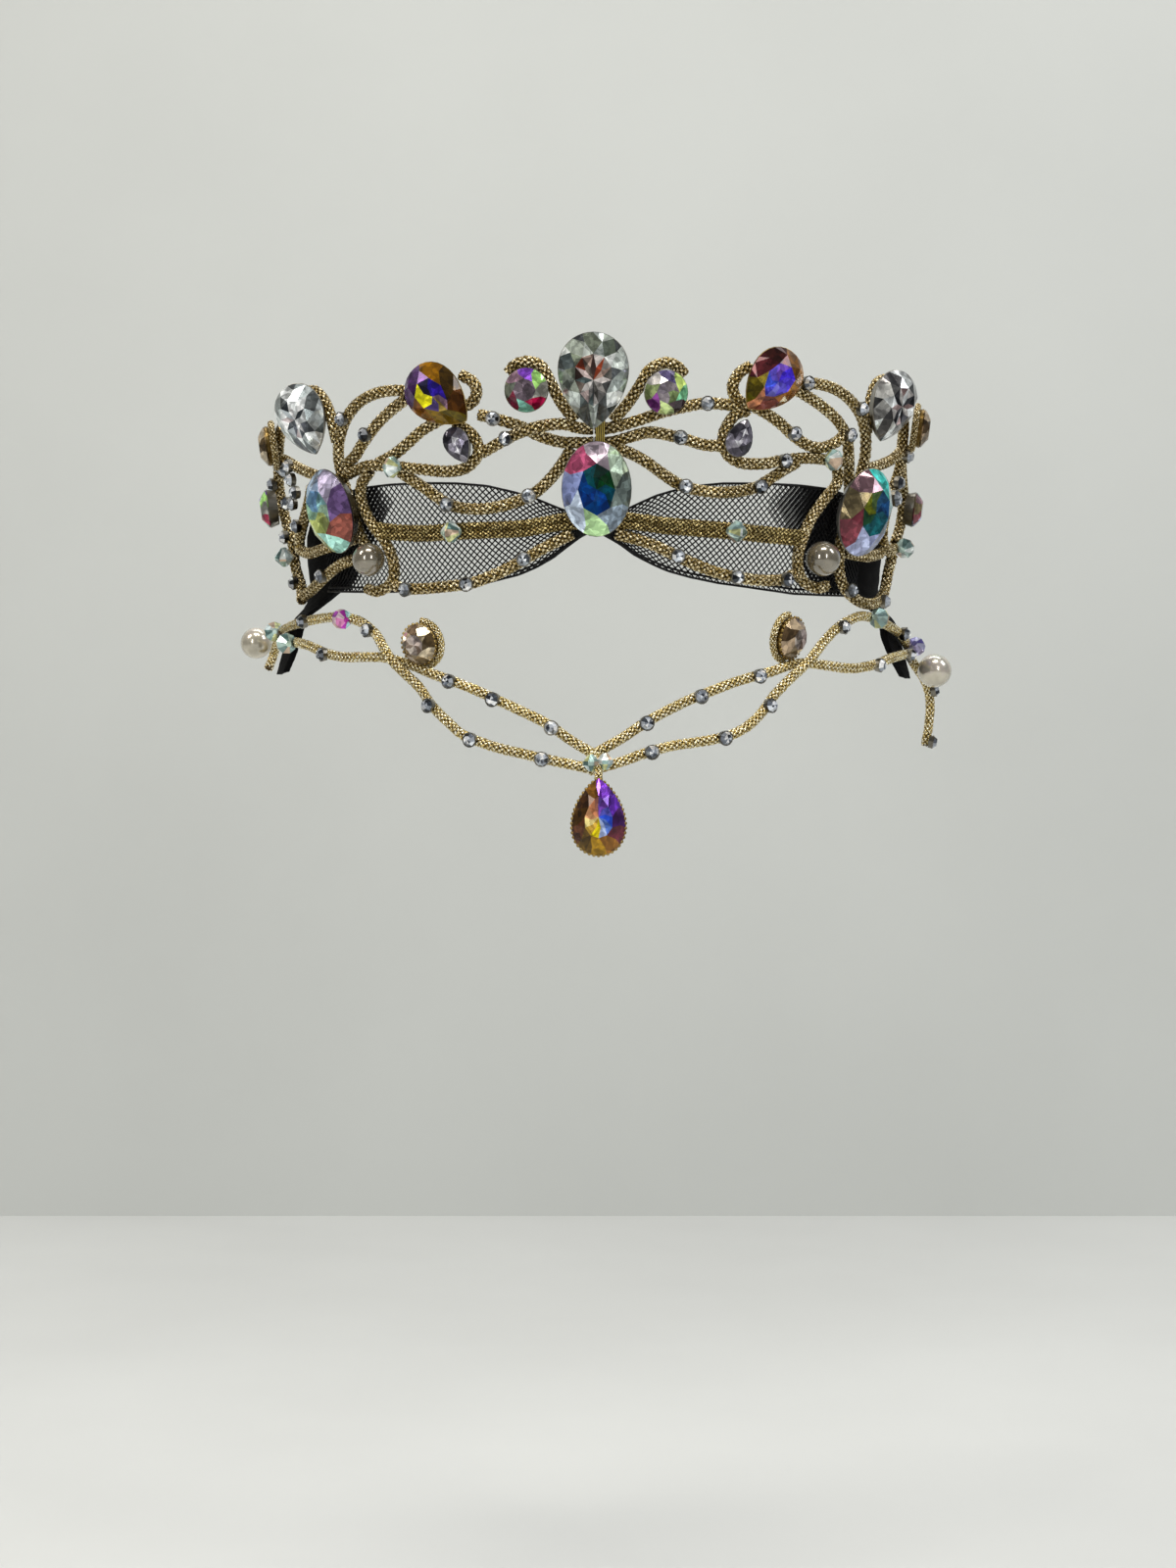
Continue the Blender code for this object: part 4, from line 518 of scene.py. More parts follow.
class NetSettings(bpy.types.PropertyGroup):
    """Sizes of the net and the velvet."""
    cell_width: FloatProperty(name="Cell width", description="Width of a diamond of the net",
                              default=1.4 * MM, unit="LENGTH", precision=5)
    cells_across: IntProperty(name="Cells across", description="Diamonds from edge to edge of the net",
                              default=15, min=6, max=40)
    strand_radius: FloatProperty(name="Strand radius", description="Radius of a strand of the net",
                                 default=0.15 * MM, unit="LENGTH", precision=5)
    hem_radius: FloatProperty(name="Hem radius", description="Radius of the net's turned edge",
                              default=0.25 * MM, unit="LENGTH", precision=5)
    velvet_thickness: FloatProperty(name="Velvet", description="Thickness of the velvet ribbon",
                                    default=1.2 * MM, unit="LENGTH", precision=5)


class StudioSettings(bpy.types.PropertyGroup):
    """Colours and light of the studio."""
    wall_colour: FloatVectorProperty(name="Wall", description="Colour of the backdrop",
                                     default=(0.60, 0.62, 0.61), subtype="COLOR", size=3)
    floor_colour: FloatVectorProperty(name="Floor", description="Colour of the floor",
                                      default=(0.74, 0.755, 0.755), subtype="COLOR", size=3)
    key_power: FloatProperty(name="Key light", description="Power of the main light in watts",
                             default=9.0, min=0.0)


def linear(code):
    """Linear colour with alpha from an sRGB hex value."""
    parts = [int(code[k:k + 2], 16) / 255.0 for k in (1, 3, 5)]
    return tuple(c / 12.92 if c <= 0.04045 else ((c + 0.055) / 1.055) ** 2.4 for c in parts) + (1.0,)


def fill(tree, node, inputs):
    """Give a node its values and its links."""
    for key, value in inputs.items():
        socket = node.inputs[key]
        if isinstance(value, bpy.types.NodeSocket):
            tree.links.new(value, socket)
        else:
            socket.default_value = value


def add(tree, kind, inputs=None, **settings):
    """Add a node to a tree, with its settings, its values and its links."""
    node = tree.nodes.new(kind)
    for key, value in settings.items():
        setattr(node, key, value)
    fill(tree, node, inputs or {})
    return node


def set_ramp(node, stops, interpolation="LINEAR"):
    """Give a colour ramp its stops."""
    ramp = node.color_ramp
    ramp.interpolation = interpolation
    while len(ramp.elements) > 1:
        ramp.elements.remove(ramp.elements[-1])
    ramp.elements[0].position = stops[0][0]
    ramp.elements[0].color = linear(stops[0][1])
    for position, code in stops[1:]:
        ramp.elements.new(position).color = linear(code)


def new_material(name):
    """Material with a plain shader, with its tree, the shader and the place that its patterns read."""
    material = bpy.data.materials.new(name)
    material.use_nodes = True
    tree = material.node_tree
    tree.nodes.clear()
    shader = add(tree, "ShaderNodeBsdfPrincipled")
    add(tree, "ShaderNodeOutputMaterial", {"Surface": shader.outputs[0]})
    return material, tree, shader, add(tree, "ShaderNodeTexCoord").outputs["Object"]


def metallic_yarn(name, dark, body, light, glint):
    """Braided metallised polyester yarn: painted shade where a yarn dives under, painted highlight where it
    crests.
    """
    material, tree, shader, place = new_material(name)
    crest = add(tree, "ShaderNodeAttribute", attribute_name="crest")
    # Flakes shift the crest level at random so that some reach the glint colour: painted glints, besides
    # their bumps and roughness
    flake = add(tree, "ShaderNodeTexVoronoi", {"Vector": place, "Scale": 3400.0})
    patch = add(tree, "ShaderNodeTexNoise", {"Vector": place, "Scale": 160.0, "Detail": 2.0})
    shares = add(tree, "ShaderNodeSeparateColor", {"Color": flake.outputs["Color"]})
    spread = add(tree, "ShaderNodeMapRange", {"Value": shares.outputs[0], "To Min": -0.3, "To Max": 0.3})
    level = add(tree, "ShaderNodeMath", {0: crest.outputs["Fac"], 1: spread.outputs[0]}, operation="ADD")
    # Ramp from painted shade under the crossing yarn, through the yarn's own gold, to painted highlight and
    # glint on the crest
    ramp = add(tree, "ShaderNodeValToRGB", {"Fac": level.outputs[0]})
    set_ramp(ramp, [(0.08, dark), (0.42, body), (0.78, light), (1.0, glint)])
    dim = add(tree, "ShaderNodeMapRange", {"Value": patch.outputs["Fac"], "From Min": 0.3, "From Max": 0.7,
                                          "To Min": 0.82, "To Max": 1.12})
    toned = add(tree, "ShaderNodeMix", {"Factor": 1.0, 6: ramp.outputs["Color"], 7: dim.outputs[0]},
                data_type="RGBA", blend_type="MULTIPLY")
    bump = add(tree, "ShaderNodeBump", {"Height": shares.outputs[1], "Strength": 0.45, "Distance": 0.0001})
    rough = add(tree, "ShaderNodeMapRange", {"Value": shares.outputs[2], "To Min": 0.2, "To Max": 0.45})
    fill(tree, shader, {"Base Color": toned.outputs[2], "Normal": bump.outputs[0],
                        "Roughness": rough.outputs[0], "Metallic": 0.75})
    return material


def foiled_glass(name):
    """Machine-cut lead glass with a foiled back: each facet shows one painted colour that stands for what it
    mirrors, under a clear surface.
    """
    material, tree, shader, place = new_material(name)
    facet = add(tree, "ShaderNodeAttribute", attribute_name="facet")
    # Wide cells lighten and darken the facets in patches, painted reflections inside the glass; fine cells
    # brighten small spots, painted glints
    wide = add(tree, "ShaderNodeTexVoronoi", {"Vector": place, "Scale": 480.0})
    fine = add(tree, "ShaderNodeTexVoronoi", {"Vector": place, "Scale": 1100.0})
    wide_shares = add(tree, "ShaderNodeSeparateColor", {"Color": wide.outputs["Color"]})
    fine_shares = add(tree, "ShaderNodeSeparateColor", {"Color": fine.outputs["Color"]})
    tone = add(tree, "ShaderNodeMapRange", {"Value": wide_shares.outputs[0], "To Min": 0.52, "To Max": 1.5})
    glint = add(tree, "ShaderNodeMapRange", {"Value": fine_shares.outputs[1], "From Min": 0.3,
                                            "To Min": 0.8, "To Max": 1.45})
    both = add(tree, "ShaderNodeMath", {0: tone.outputs[0], 1: glint.outputs[0]}, operation="MULTIPLY")
    toned = add(tree, "ShaderNodeMix", {"Factor": 1.0, 6: facet.outputs["Color"], 7: both.outputs[0]},
                data_type="RGBA", blend_type="MULTIPLY")
    fill(tree, shader, {"Base Color": toned.outputs[2], "Metallic": 0.45, "Roughness": 0.12,
                        "Specular IOR Level": 0.1, "Coat Weight": 0.4, "Coat Roughness": 0.02})
    return material


def cup_metal(name, dark, body, light):
    """Stamped brass cup with a worn plating, duller in patches."""
    material, tree, shader, place = new_material(name)
    wear = add(tree, "ShaderNodeTexNoise", {"Vector": place, "Scale": 150.0, "Detail": 3.0})
    ramp = add(tree, "ShaderNodeValToRGB", {"Fac": wear.outputs["Fac"]})
    set_ramp(ramp, [(0.28, dark), (0.45, body), (0.75, light)])
    rough = add(tree, "ShaderNodeMapRange", {"Value": wear.outputs["Fac"], "To Min": 0.18, "To Max": 0.42})
    fill(tree, shader, {"Base Color": ramp.outputs["Color"], "Roughness": rough.outputs[0],
                        "Metallic": 1.0})
    return material


def pearl_lacquer(name, colour):
    """Imitation pearl: pearl lacquer over a bead, with a soft rosy and green cast."""
    material, tree, shader, place = new_material(name)
    cast = add(tree, "ShaderNodeTexNoise", {"Vector": place, "Scale": 220.0, "Detail": 2.0})
    ramp = add(tree, "ShaderNodeValToRGB", {"Fac": cast.outputs["Fac"]})
    set_ramp(ramp, [(0.3, "#b4ac98"), (0.48, "#d8d0bc"), (0.56, "#dcd0c4"), (0.7, "#c0c4b4")])
    tint = add(tree, "ShaderNodeMix", {"Factor": 1.0, 6: ramp.outputs["Color"], 7: (*colour, 1.0)},
               data_type="RGBA", blend_type="MULTIPLY")
    fill(tree, shader, {"Base Color": tint.outputs[2], "Metallic": 0.5, "Roughness": 0.26,
                        "Coat Weight": 1.0, "Coat Roughness": 0.04, "Coat IOR": 2.0})
    return material


def net_thread(name):
    """Stiff polyester net: black strands with a faint plastic gloss."""
    material, tree, shader, place = new_material(name)
    tone = add(tree, "ShaderNodeTexNoise", {"Vector": place, "Scale": 1500.0, "Detail": 2.0})
    ramp = add(tree, "ShaderNodeValToRGB", {"Fac": tone.outputs["Fac"]})
    set_ramp(ramp, [(0.35, "#040405"), (0.65, "#0e0e10")])
    fill(tree, shader, {"Base Color": ramp.outputs["Color"], "Roughness": 0.5,
                        "Specular IOR Level": 0.3})
    return material


def velvet_pile(name):
    """Black rayon velvet: short pile that drinks light, a little lighter in patches, painted sheen where the
    pile leans.
    """
    material, tree, shader, place = new_material(name)
    # Lighter patches: painted sheen of leaning pile
    sheen_patches = add(tree, "ShaderNodeTexNoise", {"Vector": place, "Scale": 160.0, "Detail": 4.0})
    pile = add(tree, "ShaderNodeTexNoise", {"Vector": place, "Scale": 4200.0, "Detail": 2.0})
    ramp = add(tree, "ShaderNodeValToRGB", {"Fac": sheen_patches.outputs["Fac"]})
    set_ramp(ramp, [(0.3, "#020203"), (0.55, "#050506"), (0.75, "#0d0d0f")])
    bump = add(tree, "ShaderNodeBump", {"Height": pile.outputs["Fac"], "Strength": 0.7, "Distance": 0.0002})
    fill(tree, shader, {"Base Color": ramp.outputs["Color"], "Normal": bump.outputs[0],
                        "Roughness": 0.95, "Specular IOR Level": 0.12})
    return material


def sewing_thread(name):
    """Yellow gold sewing thread, two fine plies twisted together, with painted shade in the grooves between
    them and painted highlight on them.
    """
    material, tree, shader, place = new_material(name)
    ply = add(tree, "ShaderNodeTexWave", {"Vector": place, "Scale": 900.0, "Distortion": 2.0})
    ramp = add(tree, "ShaderNodeValToRGB", {"Fac": ply.outputs["Fac"]})
    # Dark bands are painted shade between the plies, light bands painted highlight
    set_ramp(ramp, [(0.2, "#2c2208"), (0.55, "#7c6418"), (0.85, "#dcc45c")])
    fill(tree, shader, {"Base Color": ramp.outputs["Color"], "Roughness": 0.55})
    return material


def painted_board(name, low, high, colour):
    """Painted board of the studio, with the roller's faint mottle."""
    material, tree, shader, place = new_material(name)
    mottle = add(tree, "ShaderNodeTexNoise", {"Vector": place, "Scale": 3.0, "Detail": 5.0})
    ramp = add(tree, "ShaderNodeValToRGB", {"Fac": mottle.outputs["Fac"]})
    set_ramp(ramp, [(0.3, low), (0.7, high)])
    tint = add(tree, "ShaderNodeMix", {"Factor": 1.0, 6: ramp.outputs["Color"], 7: (*colour, 1.0)},
               data_type="RGBA", blend_type="MULTIPLY")
    fill(tree, shader, {"Base Color": tint.outputs[2], "Roughness": 0.7})
    return material


def made(maker, name, *values):
    """Material of a name, made the first time that it is asked for."""
    return bpy.data.materials.get(name) or maker(name, *values)


def glass():
    """Foiled glass of all the stones and beads."""
    return made(foiled_glass, "foiled_lead_glass")


def brass():
    """Brass of the cups round the warm stones."""
    return made(cup_metal, "stamped_brass_cup", "#5a4828", "#846c3c", "#b09a64")


def silver():
    """Dark silver plate of the cups round clear and rainbow glass."""
    return made(cup_metal, "silvered_brass_cup", "#45423c", "#68645a", "#98948a")


# Colours of each yarn: painted shade where the yarns dive under, the yarn's own gold, then painted highlight
# and glint on the crests
def antique_gold():
    """Yarn of the scrolls."""
    return made(metallic_yarn, "antique_gold_metallic_yarn", "#30240c", "#59461d", "#947c40", "#fff0c8")


def shaded_gold():
    """Yarn of the middle pairs: the scroll yarn darker all over, painted shade of the pairs that lie behind
    the scrolls on the black net.
    """
    return made(metallic_yarn, "shaded_gold_metallic_yarn", "#161003", "#3c2e0e", "#705a24", "#ecd898")


def pale_gold():
    """Yarn of the drape."""
    return made(metallic_yarn, "pale_gold_metallic_yarn", "#38290b", "#7e6228", "#dac47c", "#fffbe6")


def half_axes(height):
    """Half width and half depth of the wall's outline at a height, in millimetres."""
    spread = BAND_FLARE * height if height >= 0.0 else -BROW_FLARE * height
    return WALL_HALF_WIDTH + spread, WALL_HALF_DEPTH + spread


def on_wall(bearing, height, lift=0.0):
    """Point in metres at a bearing, a height and a lift."""
    half_width, half_depth = half_axes(height)
    angle = math.radians(bearing)
    x = (half_width + lift) * math.sin(angle)
    y = -(half_depth + lift) * math.cos(angle)
    return Vector((x, y, height)) * MM


def facing(bearing, down=FACE_DOWN):
    """Unit direction that looks out at a bearing and a little down."""
    angle = math.radians(bearing)
    dip = math.radians(down)
    flat = math.cos(dip)
    return Vector((math.sin(angle) * flat, -math.cos(angle) * flat, math.sin(dip)))


def placed(origin, outward, turn=0.0):
    """Matrix that puts a shape with its face along +Z and its top along +Y at a place."""
    right = Vector((0.0, 0.0, 1.0)).cross(outward).normalized()
    up = outward.cross(right)
    turned = Matrix((right, up, outward)).transposed().to_4x4()
    return Matrix.Translation(origin) @ turned @ Matrix.Rotation(math.radians(turn), 4, "Z")


def between(first, start, end, last, t):
    """Value at a share t of the way from start to end, on a smooth curve through all four values."""
    return 0.5 * (2 * start + (end - first) * t + (2 * first - 5 * start + 4 * end - last) * t * t
                  + (3 * start - first - 3 * end + last) * t ** 3)


def wall_route(rows, side, rise=0.0):
    """Points on a smooth curve through rows of bearing, height and lift on one side."""
    points = [on_wall(side * bearing, height + rise, *lift) for bearing, height, *lift in rows]
    knots = [2 * points[0] - points[1]] + points + [2 * points[-1] - points[-2]]
    route = [between(*four, k / CURVE_STEPS) for four in zip(knots, knots[1:], knots[2:], knots[3:])
             for k in range(CURVE_STEPS)]
    return route + [points[-1]]


def eased_rows(rows, steps):
    """Rows with more rows between them on a smooth curve through each column."""
    knots = [rows[0]] + rows + [rows[-1]]
    levels = [[between(*four, k / steps) for four in zip(*rows_of_four)]
              for rows_of_four in zip(knots, knots[1:], knots[2:], knots[3:]) for k in range(steps)]
    return levels + [list(rows[-1])]


def nearest_place(route, wanted):
    """Point of a route nearest to a place, and the route's direction there."""
    best = None
    for start, end in zip(route, route[1:]):
        run = end - start
        share = max(0.0, min(1.0, (wanted - start).dot(run) / run.length_squared))
        place = start.lerp(end, share)
        if best is None or (place - wanted).length < (best[0] - wanted).length:
            best = (place, run.normalized())
    return best


def seat_on(route, side, bearing, height):
    """Place on a cord's route nearest to a bearing and height, the cord's direction and the way out."""
    place, along = nearest_place(route, on_wall(side * bearing, height))
    outward = facing(side * bearing)
    outward = (outward - along * outward.dot(along)).normalized()
    return place, along, outward


def lines_mesh(name, routes):
    """Mesh of bare lines along routes."""
    points, edges = [], []
    for route in routes:
        first = len(points)
        points += [tuple(point) for point in route]
        edges += [(first + k, first + k + 1) for k in range(len(route) - 1)]
    mesh = bpy.data.meshes.new(name)
    mesh.from_pydata(points, edges, [])
    return mesh


def grown(name, guide, tree, values):
    """Plain mesh that a Geometry Nodes tree grows on a guide mesh."""
    carrier = bpy.data.objects.new(name, guide)
    bpy.context.scene.collection.objects.link(carrier)
    modifier = carrier.modifiers.new(tree.name, "NODES")
    modifier.node_group = tree
    for item in tree.interface.items_tree:
        if item.item_type == "SOCKET" and item.in_out == "INPUT" and item.name in values:
            modifier[item.identifier] = values[item.name]
    evaluated = carrier.evaluated_get(bpy.context.evaluated_depsgraph_get())
    mesh = bpy.data.meshes.new_from_object(evaluated)
    bpy.data.objects.remove(carrier)
    mesh.name = name
    return mesh


def joined(name, meshes):
    """One mesh that holds several, with their materials."""
    pieces = []
    for mesh in meshes:
        piece = bpy.data.objects.new(name, mesh)
        bpy.context.scene.collection.objects.link(piece)
        pieces.append(piece)
    with bpy.context.temp_override(active_object=pieces[0], selected_editable_objects=pieces,
                                   selected_objects=pieces, object=pieces[0]):
        bpy.ops.object.join()
    mesh = pieces[0].data
    bpy.data.objects.remove(pieces[0])
    mesh.name = name
    return mesh


def finish_piece(name, mesh, nodes=()):
    """Piece of the tiara in its place, which stands for the nodes named."""
    piece = bpy.data.objects.new(name, mesh)
    bpy.context.scene.collection.objects.link(piece)
    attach(piece, "root")
    if nodes:
        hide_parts(*nodes)
    return piece


def new_tree(name, sockets):
    """Geometry Nodes tree with named inputs, with the sockets that it is given and its output node."""
    tree = bpy.data.node_groups.new(name, "GeometryNodeTree")
    tree.interface.new_socket("Geometry", in_out="OUTPUT", socket_type="NodeSocketGeometry")
    tree.interface.new_socket("Geometry", in_out="INPUT", socket_type="NodeSocketGeometry")
    for label, kind in sockets:
        tree.interface.new_socket(label, in_out="INPUT", socket_type=f"NodeSocket{kind}")
    return tree, add(tree, "NodeGroupInput").outputs, add(tree, "NodeGroupOutput")


def braid_tree():
    """Tree that braids yarns round bare lines, half of them each way, over a core."""
    tree, given, out = new_tree("Braided cord", [
        ("Radius", "Float"), ("Yarn radius", "Float"), ("Yarns each way", "Int"), ("Lay", "Float"),
        ("Relief", "Float"), ("Step", "Float"), ("Yarn", "Material")])
    line = add(tree, "GeometryNodeMeshToCurve", {0: given["Geometry"]})
    even = add(tree, "GeometryNodeResampleCurve", {"Curve": line.outputs[0], "Length": given["Step"]},
               mode="LENGTH")
    run = add(tree, "GeometryNodeSplineParameter")
    normal = add(tree, "GeometryNodeInputNormal")
    tangent = add(tree, "GeometryNodeInputTangent")
    across = add(tree, "ShaderNodeVectorMath", {0: tangent.outputs[0], 1: normal.outputs[0]},
                 operation="CROSS_PRODUCT")
    lays = add(tree, "ShaderNodeMath", {0: run.outputs["Length"], 1: given["Lay"]}, operation="DIVIDE")
    round_once = add(tree, "ShaderNodeMath", {0: lays.outputs[0], 1: math.tau}, operation="MULTIPLY")
    crossings = add(tree, "ShaderNodeMath", {0: round_once.outputs[0], 1: given["Yarns each way"]},
                    operation="MULTIPLY")
    wave = add(tree, "ShaderNodeMath", {0: crossings.outputs[0]}, operation="COSINE")
    rise = add(tree, "ShaderNodeMath", {0: wave.outputs[0], 1: given["Relief"]}, operation="MULTIPLY")
    middle = add(tree, "ShaderNodeMath", {0: given["Radius"], 1: given["Yarn radius"]},
                 operation="SUBTRACT")
    step_round = add(tree, "ShaderNodeMath", {0: math.tau, 1: given["Yarns each way"]},
                     operation="DIVIDE")
    yarns = []
    for way in (1.0, -1.0):
        copies = add(tree, "GeometryNodeDuplicateElements",
                     {"Geometry": even.outputs[0], "Amount": given["Yarns each way"]}, domain="SPLINE")
        start = add(tree, "ShaderNodeMath", {0: copies.outputs["Duplicate Index"], 1: step_round.outputs[0]},
                    operation="MULTIPLY")
        angle = add(tree, "ShaderNodeMath", {0: round_once.outputs[0], 1: way, 2: start.outputs[0]},
                    operation="MULTIPLY_ADD")
        reach = add(tree, "ShaderNodeMath", {0: rise.outputs[0], 1: way, 2: middle.outputs[0]},
                    operation="MULTIPLY_ADD")
        cosine = add(tree, "ShaderNodeMath", {0: angle.outputs[0]}, operation="COSINE")
        sine = add(tree, "ShaderNodeMath", {0: angle.outputs[0]}, operation="SINE")
        part_a = add(tree, "ShaderNodeVectorMath", {0: normal.outputs[0], "Scale": cosine.outputs[0]},
                     operation="SCALE")
        part_b = add(tree, "ShaderNodeVectorMath", {0: across.outputs[0], "Scale": sine.outputs[0]},
                     operation="SCALE")
        outward = add(tree, "ShaderNodeVectorMath", {0: part_a.outputs[0], 1: part_b.outputs[0]},
                      operation="ADD")
        offset = add(tree, "ShaderNodeVectorMath", {0: outward.outputs[0], "Scale": reach.outputs[0]},
                     operation="SCALE")
        # Crest: how high a yarn rides over the one it crosses, which the yarn material paints as shade and
        # highlight
        height = add(tree, "ShaderNodeMath", {0: wave.outputs[0], 1: 0.5 * way, 2: 0.5},
                     operation="MULTIPLY_ADD")
        marked = add(tree, "GeometryNodeStoreNamedAttribute",
                     {"Geometry": copies.outputs["Geometry"], "Name": "crest", "Value": height.outputs[0]},
                     data_type="FLOAT", domain="POINT")
        yarns.append(add(tree, "GeometryNodeSetPosition",
                         {"Geometry": marked.outputs[0], "Offset": offset.outputs[0]}))
    both = add(tree, "GeometryNodeJoinGeometry")
    for yarn in yarns:
        tree.links.new(yarn.outputs[0], both.inputs[0])
    section = add(tree, "GeometryNodeCurvePrimitiveCircle",
                  {"Resolution": YARN_SIDES, "Radius": given["Yarn radius"]}, mode="RADIUS")
    braid = add(tree, "GeometryNodeCurveToMesh",
                {"Curve": both.outputs[0], "Profile Curve": section.outputs[0], "Fill Caps": True})
    smooth = add(tree, "GeometryNodeSetShadeSmooth", {0: braid.outputs[0]})
    core_radius = add(tree, "ShaderNodeMath", {0: given["Yarn radius"], 1: -CORE_SINK,
                                              2: given["Radius"]}, operation="MULTIPLY_ADD")
    core_section = add(tree, "GeometryNodeCurvePrimitiveCircle",
                       {"Resolution": CORE_SIDES, "Radius": core_radius.outputs[0]}, mode="RADIUS")
    core = add(tree, "GeometryNodeCurveToMesh",
               {"Curve": even.outputs[0], "Profile Curve": core_section.outputs[0], "Fill Caps": True})
    together = add(tree, "GeometryNodeJoinGeometry")
    tree.links.new(smooth.outputs[0], together.inputs[0])
    tree.links.new(core.outputs[0], together.inputs[0])
    plain = add(tree, "GeometryNodeRealizeInstances", {"Geometry": together.outputs[0]})
    finish = add(tree, "GeometryNodeSetMaterial", {"Geometry": plain.outputs[0],
                                                   "Material": given["Yarn"]})
    tree.links.new(finish.outputs[0], out.inputs[0])
    return tree


def strand_tree():
    """Tree that turns the edges of a guide mesh into round strands."""
    tree, given, out = new_tree("Strands", [("Radius", "Float"), ("Sides", "Int"), ("Strand", "Material")])
    line = add(tree, "GeometryNodeMeshToCurve", {0: given["Geometry"]})
    section = add(tree, "GeometryNodeCurvePrimitiveCircle",
                  {"Resolution": given["Sides"], "Radius": given["Radius"]}, mode="RADIUS")
    tube = add(tree, "GeometryNodeCurveToMesh",
               {"Curve": line.outputs[0], "Profile Curve": section.outputs[0], "Fill Caps": True})
    plain = add(tree, "GeometryNodeRealizeInstances", {"Geometry": tube.outputs[0]})
    finish = add(tree, "GeometryNodeSetMaterial", {"Geometry": plain.outputs[0],
                                                   "Material": given["Strand"]})
    tree.links.new(finish.outputs[0], out.inputs[0])
    return tree


def stud_tree():
    """Tree that sets small round studs along a closed line."""
    tree, given, out = new_tree("Studs", [
        ("Spacing", "Float"), ("Stud radius", "Float"), ("Metal", "Material")])
    line = add(tree, "GeometryNodeMeshToCurve", {0: given["Geometry"]})
    even = add(tree, "GeometryNodeResampleCurve",
               {"Curve": line.outputs[0], "Length": given["Spacing"]}, mode="LENGTH")
    stud = add(tree, "GeometryNodeMeshIcoSphere", {"Radius": given["Stud radius"], "Subdivisions": 2})
    set_out = add(tree, "GeometryNodeInstanceOnPoints",
                  {"Points": even.outputs[0], "Instance": stud.outputs[0]})
    plain = add(tree, "GeometryNodeRealizeInstances", {"Geometry": set_out.outputs[0]})
    smooth = add(tree, "GeometryNodeSetShadeSmooth", {0: plain.outputs[0]})
    finish = add(tree, "GeometryNodeSetMaterial", {"Geometry": smooth.outputs[0],
                                                   "Material": given["Metal"]})
    tree.links.new(finish.outputs[0], out.inputs[0])
    return tree


def small_stone_tree():
    """Tree that sets a round stone in its cup on each point, facing the point's outward direction."""
    tree, given, out = new_tree("Small stones", [
        ("Diameter", "Float"), ("Seed", "Int"), ("Glass", "Material"), ("Metal", "Material")])
    sizes = {part: add(tree, "ShaderNodeMath", {0: given["Diameter"], 1: share},
                       operation="MULTIPLY").outputs[0]
             for part, share in SMALL_STONE_SHARES.items()}
    cup = add(tree, "GeometryNodeMeshCone", {"Vertices": 14, "Radius Top": sizes["rim"],
                                             "Radius Bottom": sizes["foot"], "Depth": sizes["cup"]})
    cup_metal_set = add(tree, "GeometryNodeSetMaterial", {"Geometry": cup.outputs[0],
                                                          "Material": given["Metal"]})
    crown = add(tree, "GeometryNodeMeshCone", {"Vertices": 8, "Radius Top": sizes["table"],
                                               "Radius Bottom": sizes["girdle"],
                                               "Depth": sizes["crown"]}, fill_type="TRIANGLE_FAN")
    up = add(tree, "ShaderNodeCombineXYZ", {"Z": sizes["cup"]})
    raised = add(tree, "GeometryNodeTransform", {"Geometry": crown.outputs[0], "Translation": up.outputs[0]})
    glass_set = add(tree, "GeometryNodeSetMaterial", {"Geometry": raised.outputs[0],
                                                      "Material": given["Glass"]})
    stone = add(tree, "GeometryNodeJoinGeometry")
    tree.links.new(cup_metal_set.outputs[0], stone.inputs[0])
    tree.links.new(glass_set.outputs[0], stone.inputs[0])
    outward = add(tree, "GeometryNodeInputNamedAttribute", {"Name": "outward"}, data_type="FLOAT_VECTOR")
    turned = add(tree, "FunctionNodeAlignRotationToVector", {"Vector": outward.outputs[0]}, axis="Z")
    set_out = add(tree, "GeometryNodeInstanceOnPoints", {"Points": given["Geometry"],
                                                         "Instance": stone.outputs[0],
                                                         "Rotation": turned.outputs[0]})
    plain = add(tree, "GeometryNodeRealizeInstances", {"Geometry": set_out.outputs[0]})
    # Each facet gets one of the small stones' colours at random: painted reflections
    pick = add(tree, "FunctionNodeRandomValue", {"Seed": given["Seed"]}, data_type="FLOAT")
    ramp = add(tree, "ShaderNodeValToRGB", {"Fac": pick.outputs[1]})
    count = len(SMALL_STONE_COLOURS)
    set_ramp(ramp, [(k / count, code) for k, code in enumerate(SMALL_STONE_COLOURS)], "CONSTANT")
    coloured = add(tree, "GeometryNodeStoreNamedAttribute",
                   {"Geometry": plain.outputs[0], "Name": "facet", "Value": ramp.outputs["Color"]},
                   data_type="FLOAT_COLOR", domain="FACE")
    tree.links.new(coloured.outputs[0], out.inputs[0])
    return tree


